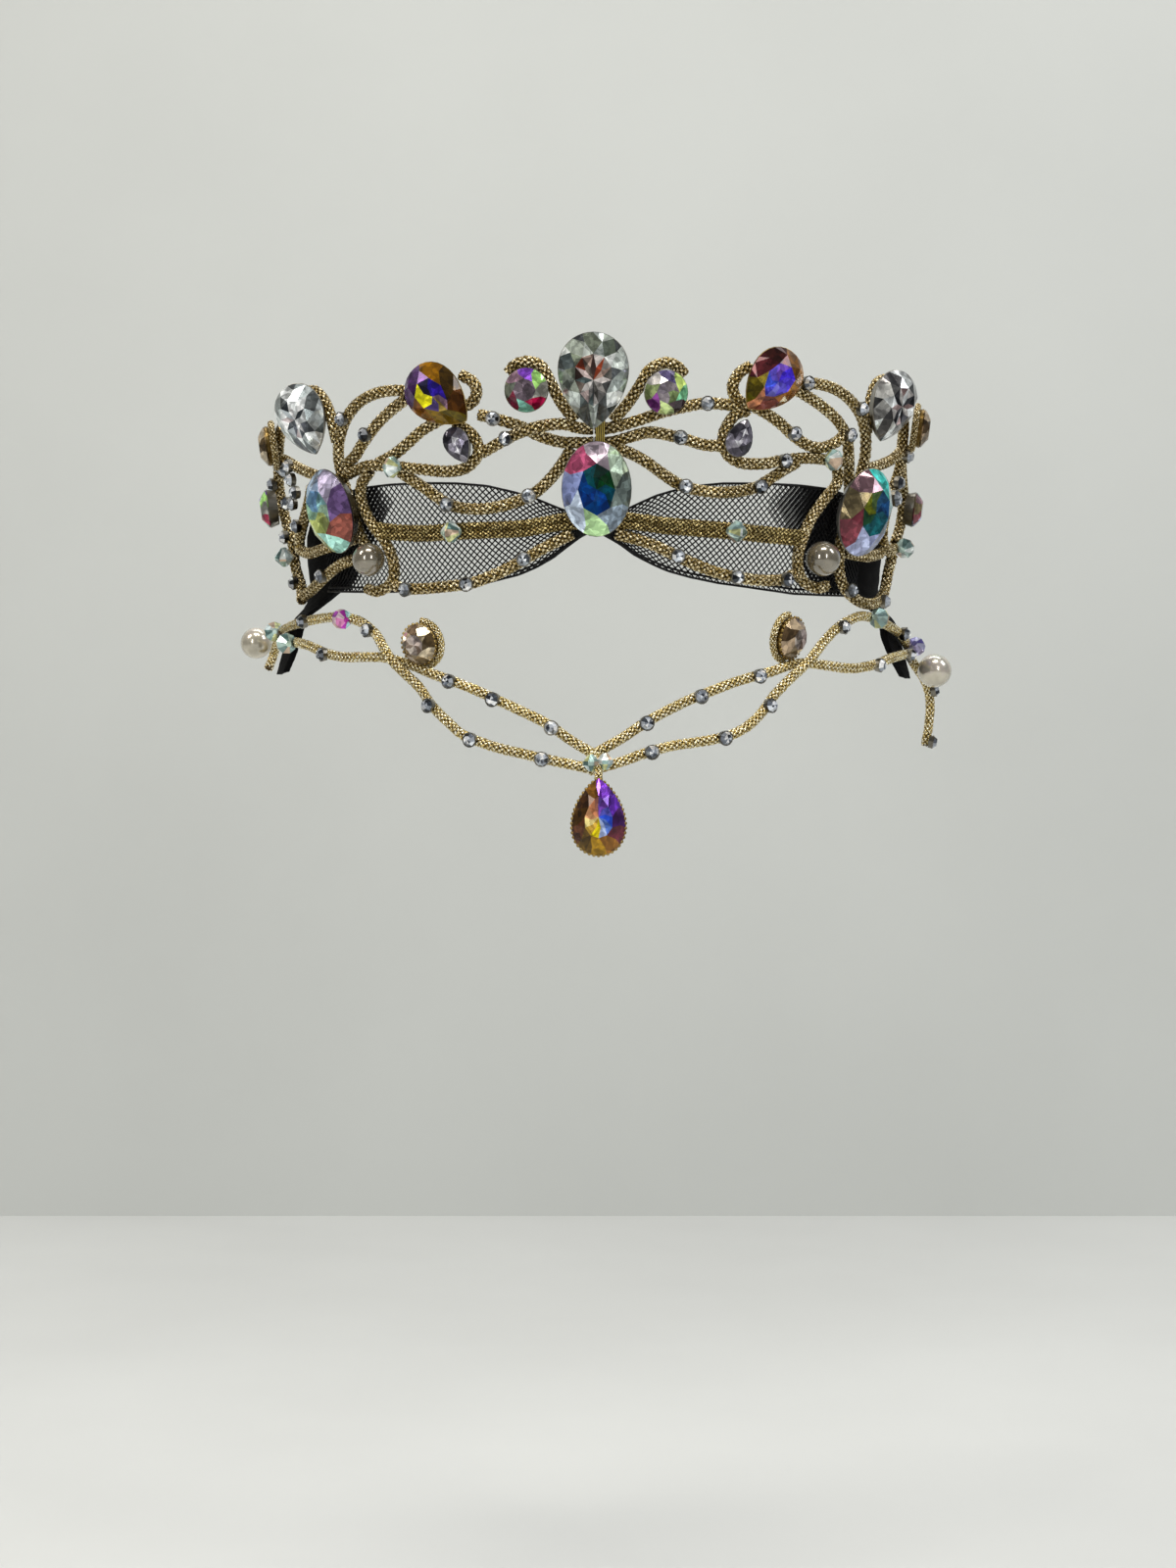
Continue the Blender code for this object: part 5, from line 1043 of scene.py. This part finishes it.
class Facets:
    """Faces of a cut shape, each with a colour and a material, gathered before they are a mesh."""

    def __init__(self, seed, contrast=BEAD_CONTRAST):
        self.contrast = contrast
        self.points = []
        self.faces = []
        self.colours = []
        self.slots = []
        self.chance = random.Random(seed)

    def ring(self, kind, count, turn, width, height, depth):
        """Numbers of the points of an outline at a depth, clockwise from the top."""
        first = len(self.points)
        for k in range(count):
            angle = math.pi / 2.0 - math.tau * (k + turn) / count
            across, along = math.cos(angle) * width / 2.0, math.sin(angle) * height / 2.0
            if kind == "pear":
                across *= PEAR_SPREAD * max(0.0, (1.0 + math.sin(angle)) / 2.0) ** PEAR_TAPER
            self.points.append(Vector((across, along, depth)) * MM)
        return [first + k for k in range(count)]

    def face(self, corners, colour=None, slot=0):
        """Face through numbered points."""
        self.faces.append(corners)
        self.colours.append(colour)
        self.slots.append(slot)

    def mesh(self, name, place, materials):
        """Mesh of the faces, put at a place, with their colours in the attribute that the glass reads."""
        mesh = bpy.data.meshes.new(name)
        mesh.from_pydata([tuple(place @ point) for point in self.points], [], self.faces)
        for material in materials:
            mesh.materials.append(material)
        mesh.polygons.foreach_set("material_index", self.slots)
        facet = mesh.color_attributes.new("facet", "FLOAT_COLOR", "CORNER")
        for polygon, colour in zip(mesh.polygons, self.colours):
            red, green, blue, alpha = linear(colour) if colour else UNCUT_GREY
            # Each corner darkened or lightened at random: painted reflection across the facet
            for loop in polygon.loop_indices:
                shade = self.chance.uniform(*self.contrast)
                facet.data[loop].color = (red * shade, green * shade, blue * shade, alpha)
        shape = bmesh.new()
        shape.from_mesh(mesh)
        bmesh.ops.recalc_face_normals(shape, faces=shape.faces)
        shape.to_mesh(mesh)
        shape.free()
        return mesh


def picked(colours, k, count, shift=0):
    """Colour of facet k of a zone that has count facets."""
    return colours[(int(k / count * len(colours)) + shift) % len(colours)]


def cut_glass(facets, kind, width, height, depth, palette, count, sizes):
    """Table, star, main and girdle facets of a stone, with the back facets seen through."""
    table_colours, crown_colours = PALETTES[palette]["table"], PALETTES[palette]["crown"]
    shift = CRYSTAL_SHIFT if "crystal" in palette else 0
    crown = depth - SETTING_DEPTH
    table, broad = sizes.table_width, sizes.break_width
    around = 4 * count
    deep = facets.ring(kind, count, 0.5, BACK_WIDTH * table * width, BACK_WIDTH * table * height,
                       depth - BACK_SINK)
    top = facets.ring(kind, count, 0.0, table * width, table * height, depth)
    middle = facets.ring(kind, count, 0.5, broad * width, broad * height,
                         SETTING_DEPTH + BREAK_HEIGHT * crown)
    edge = facets.ring(kind, around, 0.0, width + GLASS_LAP, height + GLASS_LAP, SETTING_DEPTH + GLASS_LIP)
    foot = facets.ring(kind, around, 0.0, width, height, SETTING_DEPTH)
    centre = len(facets.points)
    facets.points.append(Vector((0.0, 0.0, depth - CENTRE_SINK)) * MM)
    for k in range(count):
        after = (k + 1) % count
        facets.face([centre, deep[k - 1], deep[k]], picked(table_colours, k, count))
        facets.face([top[k], deep[k], deep[k - 1]], picked(table_colours, k, count))
        facets.face([top[k], top[after], deep[k]], picked(table_colours, k, count, shift))
        facets.face([top[k], middle[k], top[after]], picked(crown_colours, k, count, shift))
        facets.face([top[k], middle[k - 1], edge[4 * k], middle[k]], picked(crown_colours, k, count))
        rim = [edge[(4 * k + j) % around] for j in range(5)]
        facets.face([middle[k], rim[0], rim[1], rim[2]], picked(crown_colours, k, count, 2 * shift))
        facets.face([middle[k], rim[2], rim[3], rim[4]], picked(crown_colours, k, count, 1))
    for k in range(around):
        after = (k + 1) % around
        facets.face([edge[k], foot[k], foot[after], edge[after]], picked(crown_colours, k, around))
    facets.face(foot, crown_colours[0])


def stamp_cup(facets, kind, width, height, around):
    """Cup that widens to its brim round the glass."""
    cup_width, cup_height = width + 2.0 * SETTING_RIM, height + 2.0 * SETTING_RIM
    base = facets.ring(kind, around, 0.0, SETTING_FOOT * cup_width, SETTING_FOOT * cup_height, 0.0)
    side = facets.ring(kind, around, 0.0, cup_width, cup_height, SETTING_DEPTH)
    brim = facets.ring(kind, around, 0.0, width + BRIM_GAP, height + BRIM_GAP, SETTING_DEPTH + BRIM_RISE)
    for k in range(around):
        after = (k + 1) % around
        facets.face([base[k], base[after], side[after], side[k]], None, 1)
        facets.face([side[k], side[after], brim[after], brim[k]], None, 1)
    facets.face(base, None, 1)
    facets.face(brim, None, 1)


def cut_stone(kind, width, height, depth, palette, count, sizes, seed):
    """Foiled stone in its cup."""
    facets = Facets(seed, CRYSTAL_CONTRAST if "crystal" in palette else COLOUR_CONTRAST)
    cut_glass(facets, kind, width, height, depth, palette, count, sizes)
    stamp_cup(facets, kind, width, height, 4 * count)
    return facets


def cut_bead(half_width, half_length, waist, palette, seed):
    """Two cones of facets base to base, with flat ends."""
    facets = Facets(seed)
    colours = BEAD_COLOURS[palette]
    rings = [facets.ring("oval", BEAD_FACETS, 0.0, share * half_width, share * half_width, level)
             for share, level in ((BEAD_END, -half_length), (2.0, -waist), (2.0, waist),
                                  (BEAD_END, half_length))]
    for lower, upper in zip(rings, rings[1:]):
        for k in range(BEAD_FACETS):
            after = (k + 1) % BEAD_FACETS
            facets.face([lower[k], lower[after], upper[after], upper[k]], facets.chance.choice(colours))
    facets.face(rings[0], colours[0])
    facets.face(rings[-1], colours[0])
    return facets


def studs_round(name, kind, width, height, place, spacing):
    """Studs of the claw rim round a stone."""
    shape = Facets(0)
    shape.ring(kind, STUD_LINE_POINTS, 0.0, width + STUD_LINE_GAP, height + STUD_LINE_GAP,
               SETTING_DEPTH + STUD_RISE)
    points = [tuple(place @ point) for point in shape.points]
    guide = bpy.data.meshes.new(name)
    guide.from_pydata(points, [(k, (k + 1) % STUD_LINE_POINTS) for k in range(STUD_LINE_POINTS)], [])
    tree = bpy.data.node_groups.get("Studs") or stud_tree()
    return grown(name, guide, tree, {"Spacing": spacing * MM, "Stud radius": STUD_RADIUS * MM,
                                     "Metal": brass()})


def braided(name, routes, radius, yarn):
    """Mesh of a braided cord along routes, with thinner yarns on a thinner cord."""
    settings = bpy.context.scene.tiara_cord
    tree = bpy.data.node_groups.get("Braided cord") or braid_tree()
    share = radius / CORD_RADIUS
    return grown(name, lines_mesh(name, routes), tree, {
        "Radius": radius * MM, "Yarn radius": settings.yarn_radius * share,
        "Yarns each way": settings.yarns, "Lay": settings.lay * share, "Relief": settings.relief * share,
        "Step": settings.lay * share / (settings.yarns * settings.steps), "Yarn": yarn})


def cords_of(side):
    """Cords of one side: name, routes of the cord and its branches, radius and slot."""
    cords = []
    for cord in SCROLL_CORDS[side]:
        if cord not in BRANCH_OF:
            parts = [cord] + [branch for branch, stem in BRANCH_OF.items() if stem == cord]
            routes = {part: wall_route(SCROLL_CORDS[side][part], side) for part in parts}
            cords.append((cord, routes, CORD_RADIUS, "gold_cord"))
    for cord, rows in DRAPE_CORDS[side].items():
        cords.append((cord, {cord: wall_route(rows, side)}, DRAPE_CORD_RADIUS, "drape_cord"))
    return cords


class TIARA_OT_braided_cords(bpy.types.Operator):
    """Braid the scrolls, the middle pairs and the forehead drape"""
    bl_idname = "tiara.braided_cords"
    bl_label = "Braided cords"

    def execute(self, context):
        for side, label in SIDES:
            for cord, routes, radius, slot in cords_of(side):
                yarn = antique_gold() if slot == "gold_cord" else pale_gold()
                mesh = braided(f"braided_{label}_{cord}", list(routes.values()), radius, yarn)
                finish_piece(f"braided_{label}_{cord}", mesh, [f"{label}_{cord}"])
            name = f"braided_{label}_middle_pair"
            routes = [wall_route(MIDDLE_PAIRS[side], side, rise)
                      for rise in (PAIR_HALF_PITCH, -PAIR_HALF_PITCH)]
            # Middle pairs get the yarn darkened with painted shade
            mesh = braided(name, routes, PAIR_CORD_RADIUS, shaded_gold())
            finish_piece(name, mesh, [f"{label}_middle_pair"])
        return {"FINISHED"}


def trim_seats(side):
    """Places and outward directions of a side's small round stones, and seats of its cut beads."""
    places, outwards, beads = [], [], []
    for _, routes, radius, _ in cords_of(side):
        for part, route in routes.items():
            for bearing, height, *kind in TRIMS[side].get(part, ()):
                place, along, outward = seat_on(route, side, bearing, height)
                if kind:
                    beads.append((kind[0], place, along, outward, radius))
                else:
                    places.append(place + outward * (radius - CHATON_SINK) * MM)
                    outwards.append(outward)
    for bearing, height in CHAIN_STONES[side]:
        places.append(on_wall(side * bearing, height, CHAIN_LIFT))
        outwards.append(facing(side * bearing))
    kind, bearing, height = MIDDLE_BEAD
    place, along, outward = seat_on(wall_route(MIDDLE_PAIRS[side], side), side, bearing, height)
    beads.append((kind, place, along, outward, PAIR_CORD_RADIUS))
    return places, outwards, beads


class TIARA_OT_small_stones(bpy.types.Operator):
    """Sew the small round stones and the cut beads on the cords"""
    bl_idname = "tiara.small_stones"
    bl_label = "Small stones and beads"

    def execute(self, context):
        tree = small_stone_tree()
        for side, label in SIDES:
            places, outwards, beads = trim_seats(side)
            guide = bpy.data.meshes.new(f"{label}_seats")
            guide.from_pydata([tuple(place) for place in places], [], [])
            attribute = guide.attributes.new("outward", "FLOAT_VECTOR", "POINT")
            for k, outward in enumerate(outwards):
                attribute.data[k].vector = outward
            name = f"{label}_small_stones"
            mesh = grown(name, guide, tree, {
                "Diameter": CHATON_DIAMETER * MM, "Seed": SMALL_STONE_SEED + side,
                "Glass": glass(), "Metal": silver()})
            finish_piece(name, mesh)
            meshes = []
            for number, (kind, place, along, outward, radius) in enumerate(beads, BEAD_SEED + 10 * side):
                half_width, half_length, waist, seat = BEADS[kind]
                at = placed(place + outward * (radius + seat) * MM, along)
                shape = cut_bead(half_width, half_length, waist, kind, number)
                meshes.append(shape.mesh(f"bead_{number}", at, [glass()]))
            name = f"{label}_cut_beads"
            finish_piece(name, joined(name, meshes))
        return {"FINISHED"}


class TIARA_OT_cut_stones(bpy.types.Operator):
    """Cut the stones and set them in their cups"""
    bl_idname = "tiara.cut_stones"
    bl_label = "Cut stones"

    def execute(self, context):
        sizes = context.scene.tiara_stones
        for number, row in enumerate(STONES):
            name, kind, width, height, depth, bearing, level, lift, look, turn, palette, count = row
            place = placed(on_wall(bearing, level, lift), facing(look), turn)
            shape = cut_stone(kind, width, height, depth, palette, count, sizes, number)
            cup = brass() if palette in WARM_PALETTES else silver()
            meshes = [shape.mesh(name, place, [glass(), cup])]
            if name in EDGE_CORDS:
                edge = shape.ring(kind, EDGE_CORD_POINTS, 0.0, width + EDGE_CORD_GAP,
                                  height + EDGE_CORD_GAP, EDGE_CORD_LEVEL)
                start, end = EDGE_CORDS[name]
                loop = [place @ shape.points[edge[k % EDGE_CORD_POINTS]] for k in range(start, end + 1)]
                yarn = pale_gold() if name in STUDDED_STONES else antique_gold()
                meshes.append(braided(f"{name}_edge", [loop], EDGE_CORD_RADIUS, yarn))
            if name in STUDDED_STONES:
                meshes.append(studs_round(f"{name}_studs", kind, width, height, place, STUD_SPACING))
            finish_piece(f"cut_{name}", joined(name, meshes), [name])
        return {"FINISHED"}


class TIARA_OT_drop(bpy.types.Operator):
    """Hang the pear drop with its two beads at the point of the drape"""
    bl_idname = "tiara.drop"
    bl_label = "Drop"

    def execute(self, context):
        width, height, depth = DROP_SIZE
        place = placed(on_wall(DROP_BEARING, DROP_HEIGHT, DROP_LIFT), facing(0.0, down=0.0), turn=180.0)
        shape = cut_stone("pear", width, height, depth, "violet drop", DROP_FACETS,
                          context.scene.tiara_stones, DROP_SEED)
        meshes = [shape.mesh("drop", place, [glass(), brass()])]
        meshes.append(studs_round("drop_studs", "pear", width, height, place, DROP_STUD_SPACING))
        for number, (bearing, level, lift) in enumerate(DROP_BEADS):
            at = placed(on_wall(bearing, level, lift), facing(DROP_BEARING, down=DROP_BEAD_TILT))
            bead = cut_bead(*DROP_BEAD, "bicone", DROP_BEAD_SEED + number)
            meshes.append(bead.mesh(f"drop_bead_{number}", at, [glass()]))
        top = on_wall(DROP_BEARING, DROP_BEADS[0][1], DROP_BEADS[0][2])
        foot = on_wall(DROP_BEARING, DROP_HEIGHT + height / 2.0 - DROP_NECK_SINK, DROP_LIFT + DROP_NECK_LIFT)
        neck = [top.lerp(foot, k / DROP_NECK_STEPS) for k in range(DROP_NECK_STEPS + 1)]
        meshes.append(braided("drop_neck", [neck], DROP_NECK_RADIUS, pale_gold()))
        finish_piece("cut_drop", joined("drop", meshes), ["drop"])
        return {"FINISHED"}


class TIARA_OT_pearls(bpy.types.Operator):
    """Sew on the pearls"""
    bl_idname = "tiara.pearls"
    bl_label = "Pearls"

    def execute(self, context):
        sizes = context.scene.tiara_stones
        # Front pearls darkened with painted dark reflection, end pearls left light
        grey = made(pearl_lacquer, "darkened_pearl_lacquer", tuple(sizes.pearl_colour))
        white = made(pearl_lacquer, "white_pearl_lacquer", tuple(sizes.end_pearl_colour))
        for name, diameter, bearing, height, lift in PEARLS:
            shape = bmesh.new()
            bmesh.ops.create_uvsphere(shape, u_segments=40, v_segments=24, radius=diameter / 2.0 * MM,
                                      matrix=Matrix.Translation(on_wall(bearing, height, lift)))
            mesh = bpy.data.meshes.new(name)
            shape.to_mesh(mesh)
            shape.free()
            mesh.shade_smooth()
            mesh.materials.append(white if "end" in name else grey)
            finish_piece(f"lacquered_{name}", mesh, [name])
        return {"FINISHED"}


def section_at(rows, bearing):
    """Top and lower edge of the net at a bearing, on straight lines between the rows."""
    for (start, top, low), (end, next_top, next_low) in zip(rows, rows[1:]):
        if bearing <= end:
            share = max(0.0, (bearing - start) / (end - start))
            return top + (next_top - top) * share, low + (next_low - low) * share
    return rows[-1][1], rows[-1][2]


def net_place(rows, side, bearing, share, behind=0.0):
    """Place on the net at a bearing and a share of the way up it."""
    top, low = section_at(rows, bearing)
    return on_wall(side * bearing, low + (top - low) * share, NET_FRONT_LIFT - NET_SINK - behind)


def net_row(rows, side, share, steps):
    """Places along the net at a share of the way up it."""
    first, last = rows[0][0], rows[-1][0]
    return [net_place(rows, side, first + (last - first) * k / steps, share) for k in range(steps + 1)]


def net_lines(rows, side, columns, lines, layer):
    """Points and edges of one layer of the net's diamonds; the layers behind reach in less far."""
    first, last = rows[0][0], rows[-1][0]
    numbers, points, edges = {}, [], []
    for i in range(columns + 1):
        for j in range(lines + 1):
            bearing = first + (last - first) * min(1.0, (i + LAYER_STEP_ALONG * layer) / columns)
            share = min(1.0, (j + LAYER_STEP_UP * layer) / lines)
            spread = FOLD_SPREAD * abs(share - FOLD_SHARE)
            if (i + j) % 2 == 0 and (layer == 0 or bearing > FOLD_STARTS[side][layer - 1] + spread):
                numbers[i, j] = len(points)
                points.append(tuple(net_place(rows, side, bearing, share, LAYER_GAP * layer)))
    for (i, j), number in numbers.items():
        for step in (-1, 1):
            if (i + 1, j + step) in numbers:
                edges.append((number, numbers[i + 1, j + step]))
    return points, edges


class TIARA_OT_net_band(bpy.types.Operator):
    """Net the two halves of the band, gathered at the middle"""
    bl_idname = "tiara.net_band"
    bl_label = "Net band"

    def execute(self, context):
        settings = context.scene.tiara_net
        tree = strand_tree()
        black = made(net_thread, "black_polyester_net")
        for side, label in SIDES:
            rows = NET_SECTIONS[side]
            middle = net_row(rows, side, 0.5, NET_LENGTH_STEPS)
            length = sum((end - start).length for start, end in zip(middle, middle[1:]))
            columns = 2 * round(length / settings.cell_width)
            points, edges = [], []
            for layer in range(len(FOLD_STARTS[side]) + 1):
                more, links = net_lines(rows, side, columns, 2 * settings.cells_across, layer)
                edges += [(start + len(points), end + len(points)) for start, end in links]
                points += more
            guide = bpy.data.meshes.new(f"{label}_net_lines")
            guide.from_pydata(points, edges, [])
            strands = grown(f"{label}_net", guide, tree, {"Radius": settings.strand_radius, "Sides": 4,
                                                          "Strand": black})
            hems = [net_row(rows, side, share, HEM_STEPS) for share in HEM_SHARES]
            hem = grown(f"{label}_hem", lines_mesh(f"{label}_hem", hems), tree,
                        {"Radius": settings.hem_radius, "Sides": 6, "Strand": black})
            name = f"woven_{label}_net"
            piece = finish_piece(name, joined(name, [strands, hem]), [f"{label}_net"])
        return {"FINISHED"}


class TIARA_OT_velvet_tabs(bpy.types.Operator):
    """Lay the velvet ribbons at the ends of the net"""
    bl_idname = "tiara.velvet_tabs"
    bl_label = "Velvet tabs"

    def execute(self, context):
        thickness = context.scene.tiara_net.velvet_thickness / MM
        pile = made(velvet_pile, "black_velvet_pile")
        chance = random.Random(VELVET_SEED)
        across = VELVET_COLUMNS
        for side, label in SIDES:
            levels = eased_rows(VELVET_SECTIONS[side], VELVET_STEPS)
            shape = bmesh.new()
            layers = []
            for depth in (0.0, thickness):
                layers.append([[shape.verts.new(on_wall(
                    side * (inner + (outer - inner) * k / across), height,
                    lift - depth + chance.uniform(-VELVET_RUFFLE, VELVET_RUFFLE))) for k in range(across + 1)]
                    for height, inner, outer, lift in levels])
            front, back = layers
            for layer in layers:
                for row, following in zip(layer, layer[1:]):
                    for k in range(across):
                        shape.faces.new((row[k], row[k + 1], following[k + 1], following[k]))
            count = len(levels)
            rim = [(0, k) for k in range(across)] + [(j, across) for j in range(count - 1)]
            rim += [(count - 1, k) for k in range(across, 0, -1)] + [(j, 0) for j in range(count - 1, 0, -1)]
            for (j, k), (m, n) in zip(rim, rim[1:] + rim[:1]):
                shape.faces.new((front[j][k], front[m][n], back[m][n], back[j][k]))
            bmesh.ops.recalc_face_normals(shape, faces=shape.faces)
            name = f"cut_{label}_velvet_tab"
            mesh = bpy.data.meshes.new(name)
            shape.to_mesh(mesh)
            area = sum(face.calc_area() for face in shape.faces) / 2.0
            shape.free()
            mesh.shade_smooth()
            mesh.materials.append(pile)
            piece = finish_piece(name, mesh, [f"{label}_velvet_tab"])
        return {"FINISHED"}


class TIARA_OT_thread_binding(bpy.types.Operator):
    """Wind the thread where the strands of the two sides meet"""
    bl_idname = "tiara.thread_binding"
    bl_label = "Thread binding"

    def execute(self, context):
        width, height, depth = BINDING_SIZE
        place = placed(on_wall(BINDING_BEARING, BINDING_HEIGHT), facing(BINDING_BEARING))
        count = BINDING_TURNS * BINDING_STEPS
        points = []
        for k in range(count + 1):
            angle = math.tau * k / BINDING_STEPS
            swell = 1.0 + BINDING_SLACK * math.sin(BINDING_SLACK_RATE * k / BINDING_STEPS)
            points.append(place @ (Vector(((k / count - 0.5) * (width - BINDING_SIDE_INSET),
                                           0.5 * (height - BINDING_INSET) * math.cos(angle) * swell,
                                           0.5 * (depth - BINDING_INSET) * math.sin(angle) * swell)) * MM))
        tree = bpy.data.node_groups.get("Strands") or strand_tree()
        mesh = grown("wound_thread_binding", lines_mesh("winding", [points]), tree,
                     {"Radius": THREAD_RADIUS * MM, "Sides": 6,
                      "Strand": made(sewing_thread, "gold_sewing_thread")})
        finish_piece("wound_thread_binding", mesh, ["thread_binding"])
        return {"FINISHED"}


class TIARA_OT_studio(bpy.types.Operator):
    """Set up the floor, the backdrop, the soft lights and the camera"""
    bl_idname = "tiara.studio"
    bl_label = "Studio"

    def execute(self, context):
        settings = context.scene.tiara_studio
        edge = [(-BOARD_HALF, WALL_PLACE, FLOOR_LEVEL), (BOARD_HALF, WALL_PLACE, FLOOR_LEVEL)]
        boards = [
            ("studio_floor", [(-BOARD_HALF, FLOOR_FRONT, FLOOR_LEVEL), (BOARD_HALF, FLOOR_FRONT, FLOOR_LEVEL),
                              edge[1], edge[0]], "#e4e4e2", "#f4f4f2", settings.floor_colour),
            ("studio_backdrop", edge + [(BOARD_HALF, WALL_PLACE, WALL_TOP),
                                        (-BOARD_HALF, WALL_PLACE, WALL_TOP)],
             "#f0f0ee", "#fcfcfa", settings.wall_colour)]
        for name, corners, low, high, colour in boards:
            mesh = bpy.data.meshes.new(name)
            mesh.from_pydata(corners, [], [(0, 1, 2, 3)])
            mesh.materials.append(made(painted_board, f"painted_{name}", low, high, tuple(colour)))
            board = bpy.data.objects.new(name, mesh)
            context.scene.collection.objects.link(board)
        for name, place, size, power, colour in LIGHTS:
            lamp = bpy.data.lights.new(name, "AREA")
            lamp.shape = "RECTANGLE"
            lamp.size, lamp.size_y = size
            lamp.energy = power * settings.key_power
            lamp.color = linear(colour)[:3]
            lit = bpy.data.objects.new(name, lamp)
            lit.location = place
            lit.rotation_euler = (-Vector(place)).to_track_quat("-Z", "Y").to_euler()
            context.scene.collection.objects.link(lit)
        world = bpy.data.worlds.new("studio_air")
        world.use_nodes = True
        world.node_tree.nodes.clear()
        air = add(world.node_tree, "ShaderNodeBackground",
                  {"Color": linear(AIR_COLOUR), "Strength": AIR_LIGHT})
        add(world.node_tree, "ShaderNodeOutputWorld", {"Surface": air.outputs[0]})
        context.scene.world = world
        context.scene.view_settings.view_transform = "Standard"
        lens = bpy.data.cameras.new("studio_camera")
        lens.sensor_width = SENSOR_MM
        lens.lens = LENS_PIXELS / PICTURE_HEIGHT * SENSOR_MM
        lens.clip_start = 0.01
        camera = bpy.data.objects.new("studio_camera", lens)
        camera.location = CAMERA_PLACE
        camera.rotation_euler = (math.pi / 2.0, 0.0, 0.0)
        context.scene.collection.objects.link(camera)
        context.scene.camera = camera
        return {"FINISHED"}


class VIEW3D_PT_tiara(bpy.types.Panel):
    """Sizes, colours and steps of the tiara"""
    bl_label = "Ballet tiara"
    bl_space_type = "VIEW_3D"
    bl_region_type = "UI"
    bl_category = "Tiara"

    def draw(self, context):
        for label, settings in (("Cord", context.scene.tiara_cord), ("Stones", context.scene.tiara_stones),
                                ("Net and velvet", context.scene.tiara_net),
                                ("Studio", context.scene.tiara_studio)):
            box = self.layout.box()
            box.label(text=label)
            for key in settings.__annotations__:
                box.prop(settings, key)
        for operator in OPERATORS:
            self.layout.operator(operator.bl_idname)


OPERATORS = (TIARA_OT_studio, TIARA_OT_braided_cords, TIARA_OT_small_stones, TIARA_OT_cut_stones,
             TIARA_OT_drop, TIARA_OT_pearls, TIARA_OT_net_band, TIARA_OT_velvet_tabs,
             TIARA_OT_thread_binding)
SETTINGS = {"tiara_cord": CordSettings, "tiara_stones": StoneSettings, "tiara_net": NetSettings,
            "tiara_studio": StudioSettings}


def register():
    """Register the settings, the operators and the panel."""
    for name, settings in SETTINGS.items():
        bpy.utils.register_class(settings)
        setattr(bpy.types.Scene, name, PointerProperty(type=settings))
    for operator in OPERATORS:
        bpy.utils.register_class(operator)
    bpy.utils.register_class(VIEW3D_PT_tiara)


def unregister():
    """Take the panel, the operators and the settings away again."""
    bpy.utils.unregister_class(VIEW3D_PT_tiara)
    for operator in reversed(OPERATORS):
        bpy.utils.unregister_class(operator)
    for name, settings in SETTINGS.items():
        delattr(bpy.types.Scene, name)
        bpy.utils.unregister_class(settings)


def corners(bounds):
    """Two corners as plain lists of numbers."""
    return [[float(number) for number in corner] for corner in bounds]


def main():
    """Make the tiara and its studio."""
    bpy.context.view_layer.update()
    register()
    bpy.ops.tiara.studio()
    bpy.ops.tiara.braided_cords()
    bpy.ops.tiara.small_stones()
    bpy.ops.tiara.cut_stones()
    bpy.ops.tiara.drop()
    bpy.ops.tiara.pearls()
    bpy.ops.tiara.net_band()
    bpy.ops.tiara.velvet_tabs()
    bpy.ops.tiara.thread_binding()


if __name__ == "__main__":
    main()
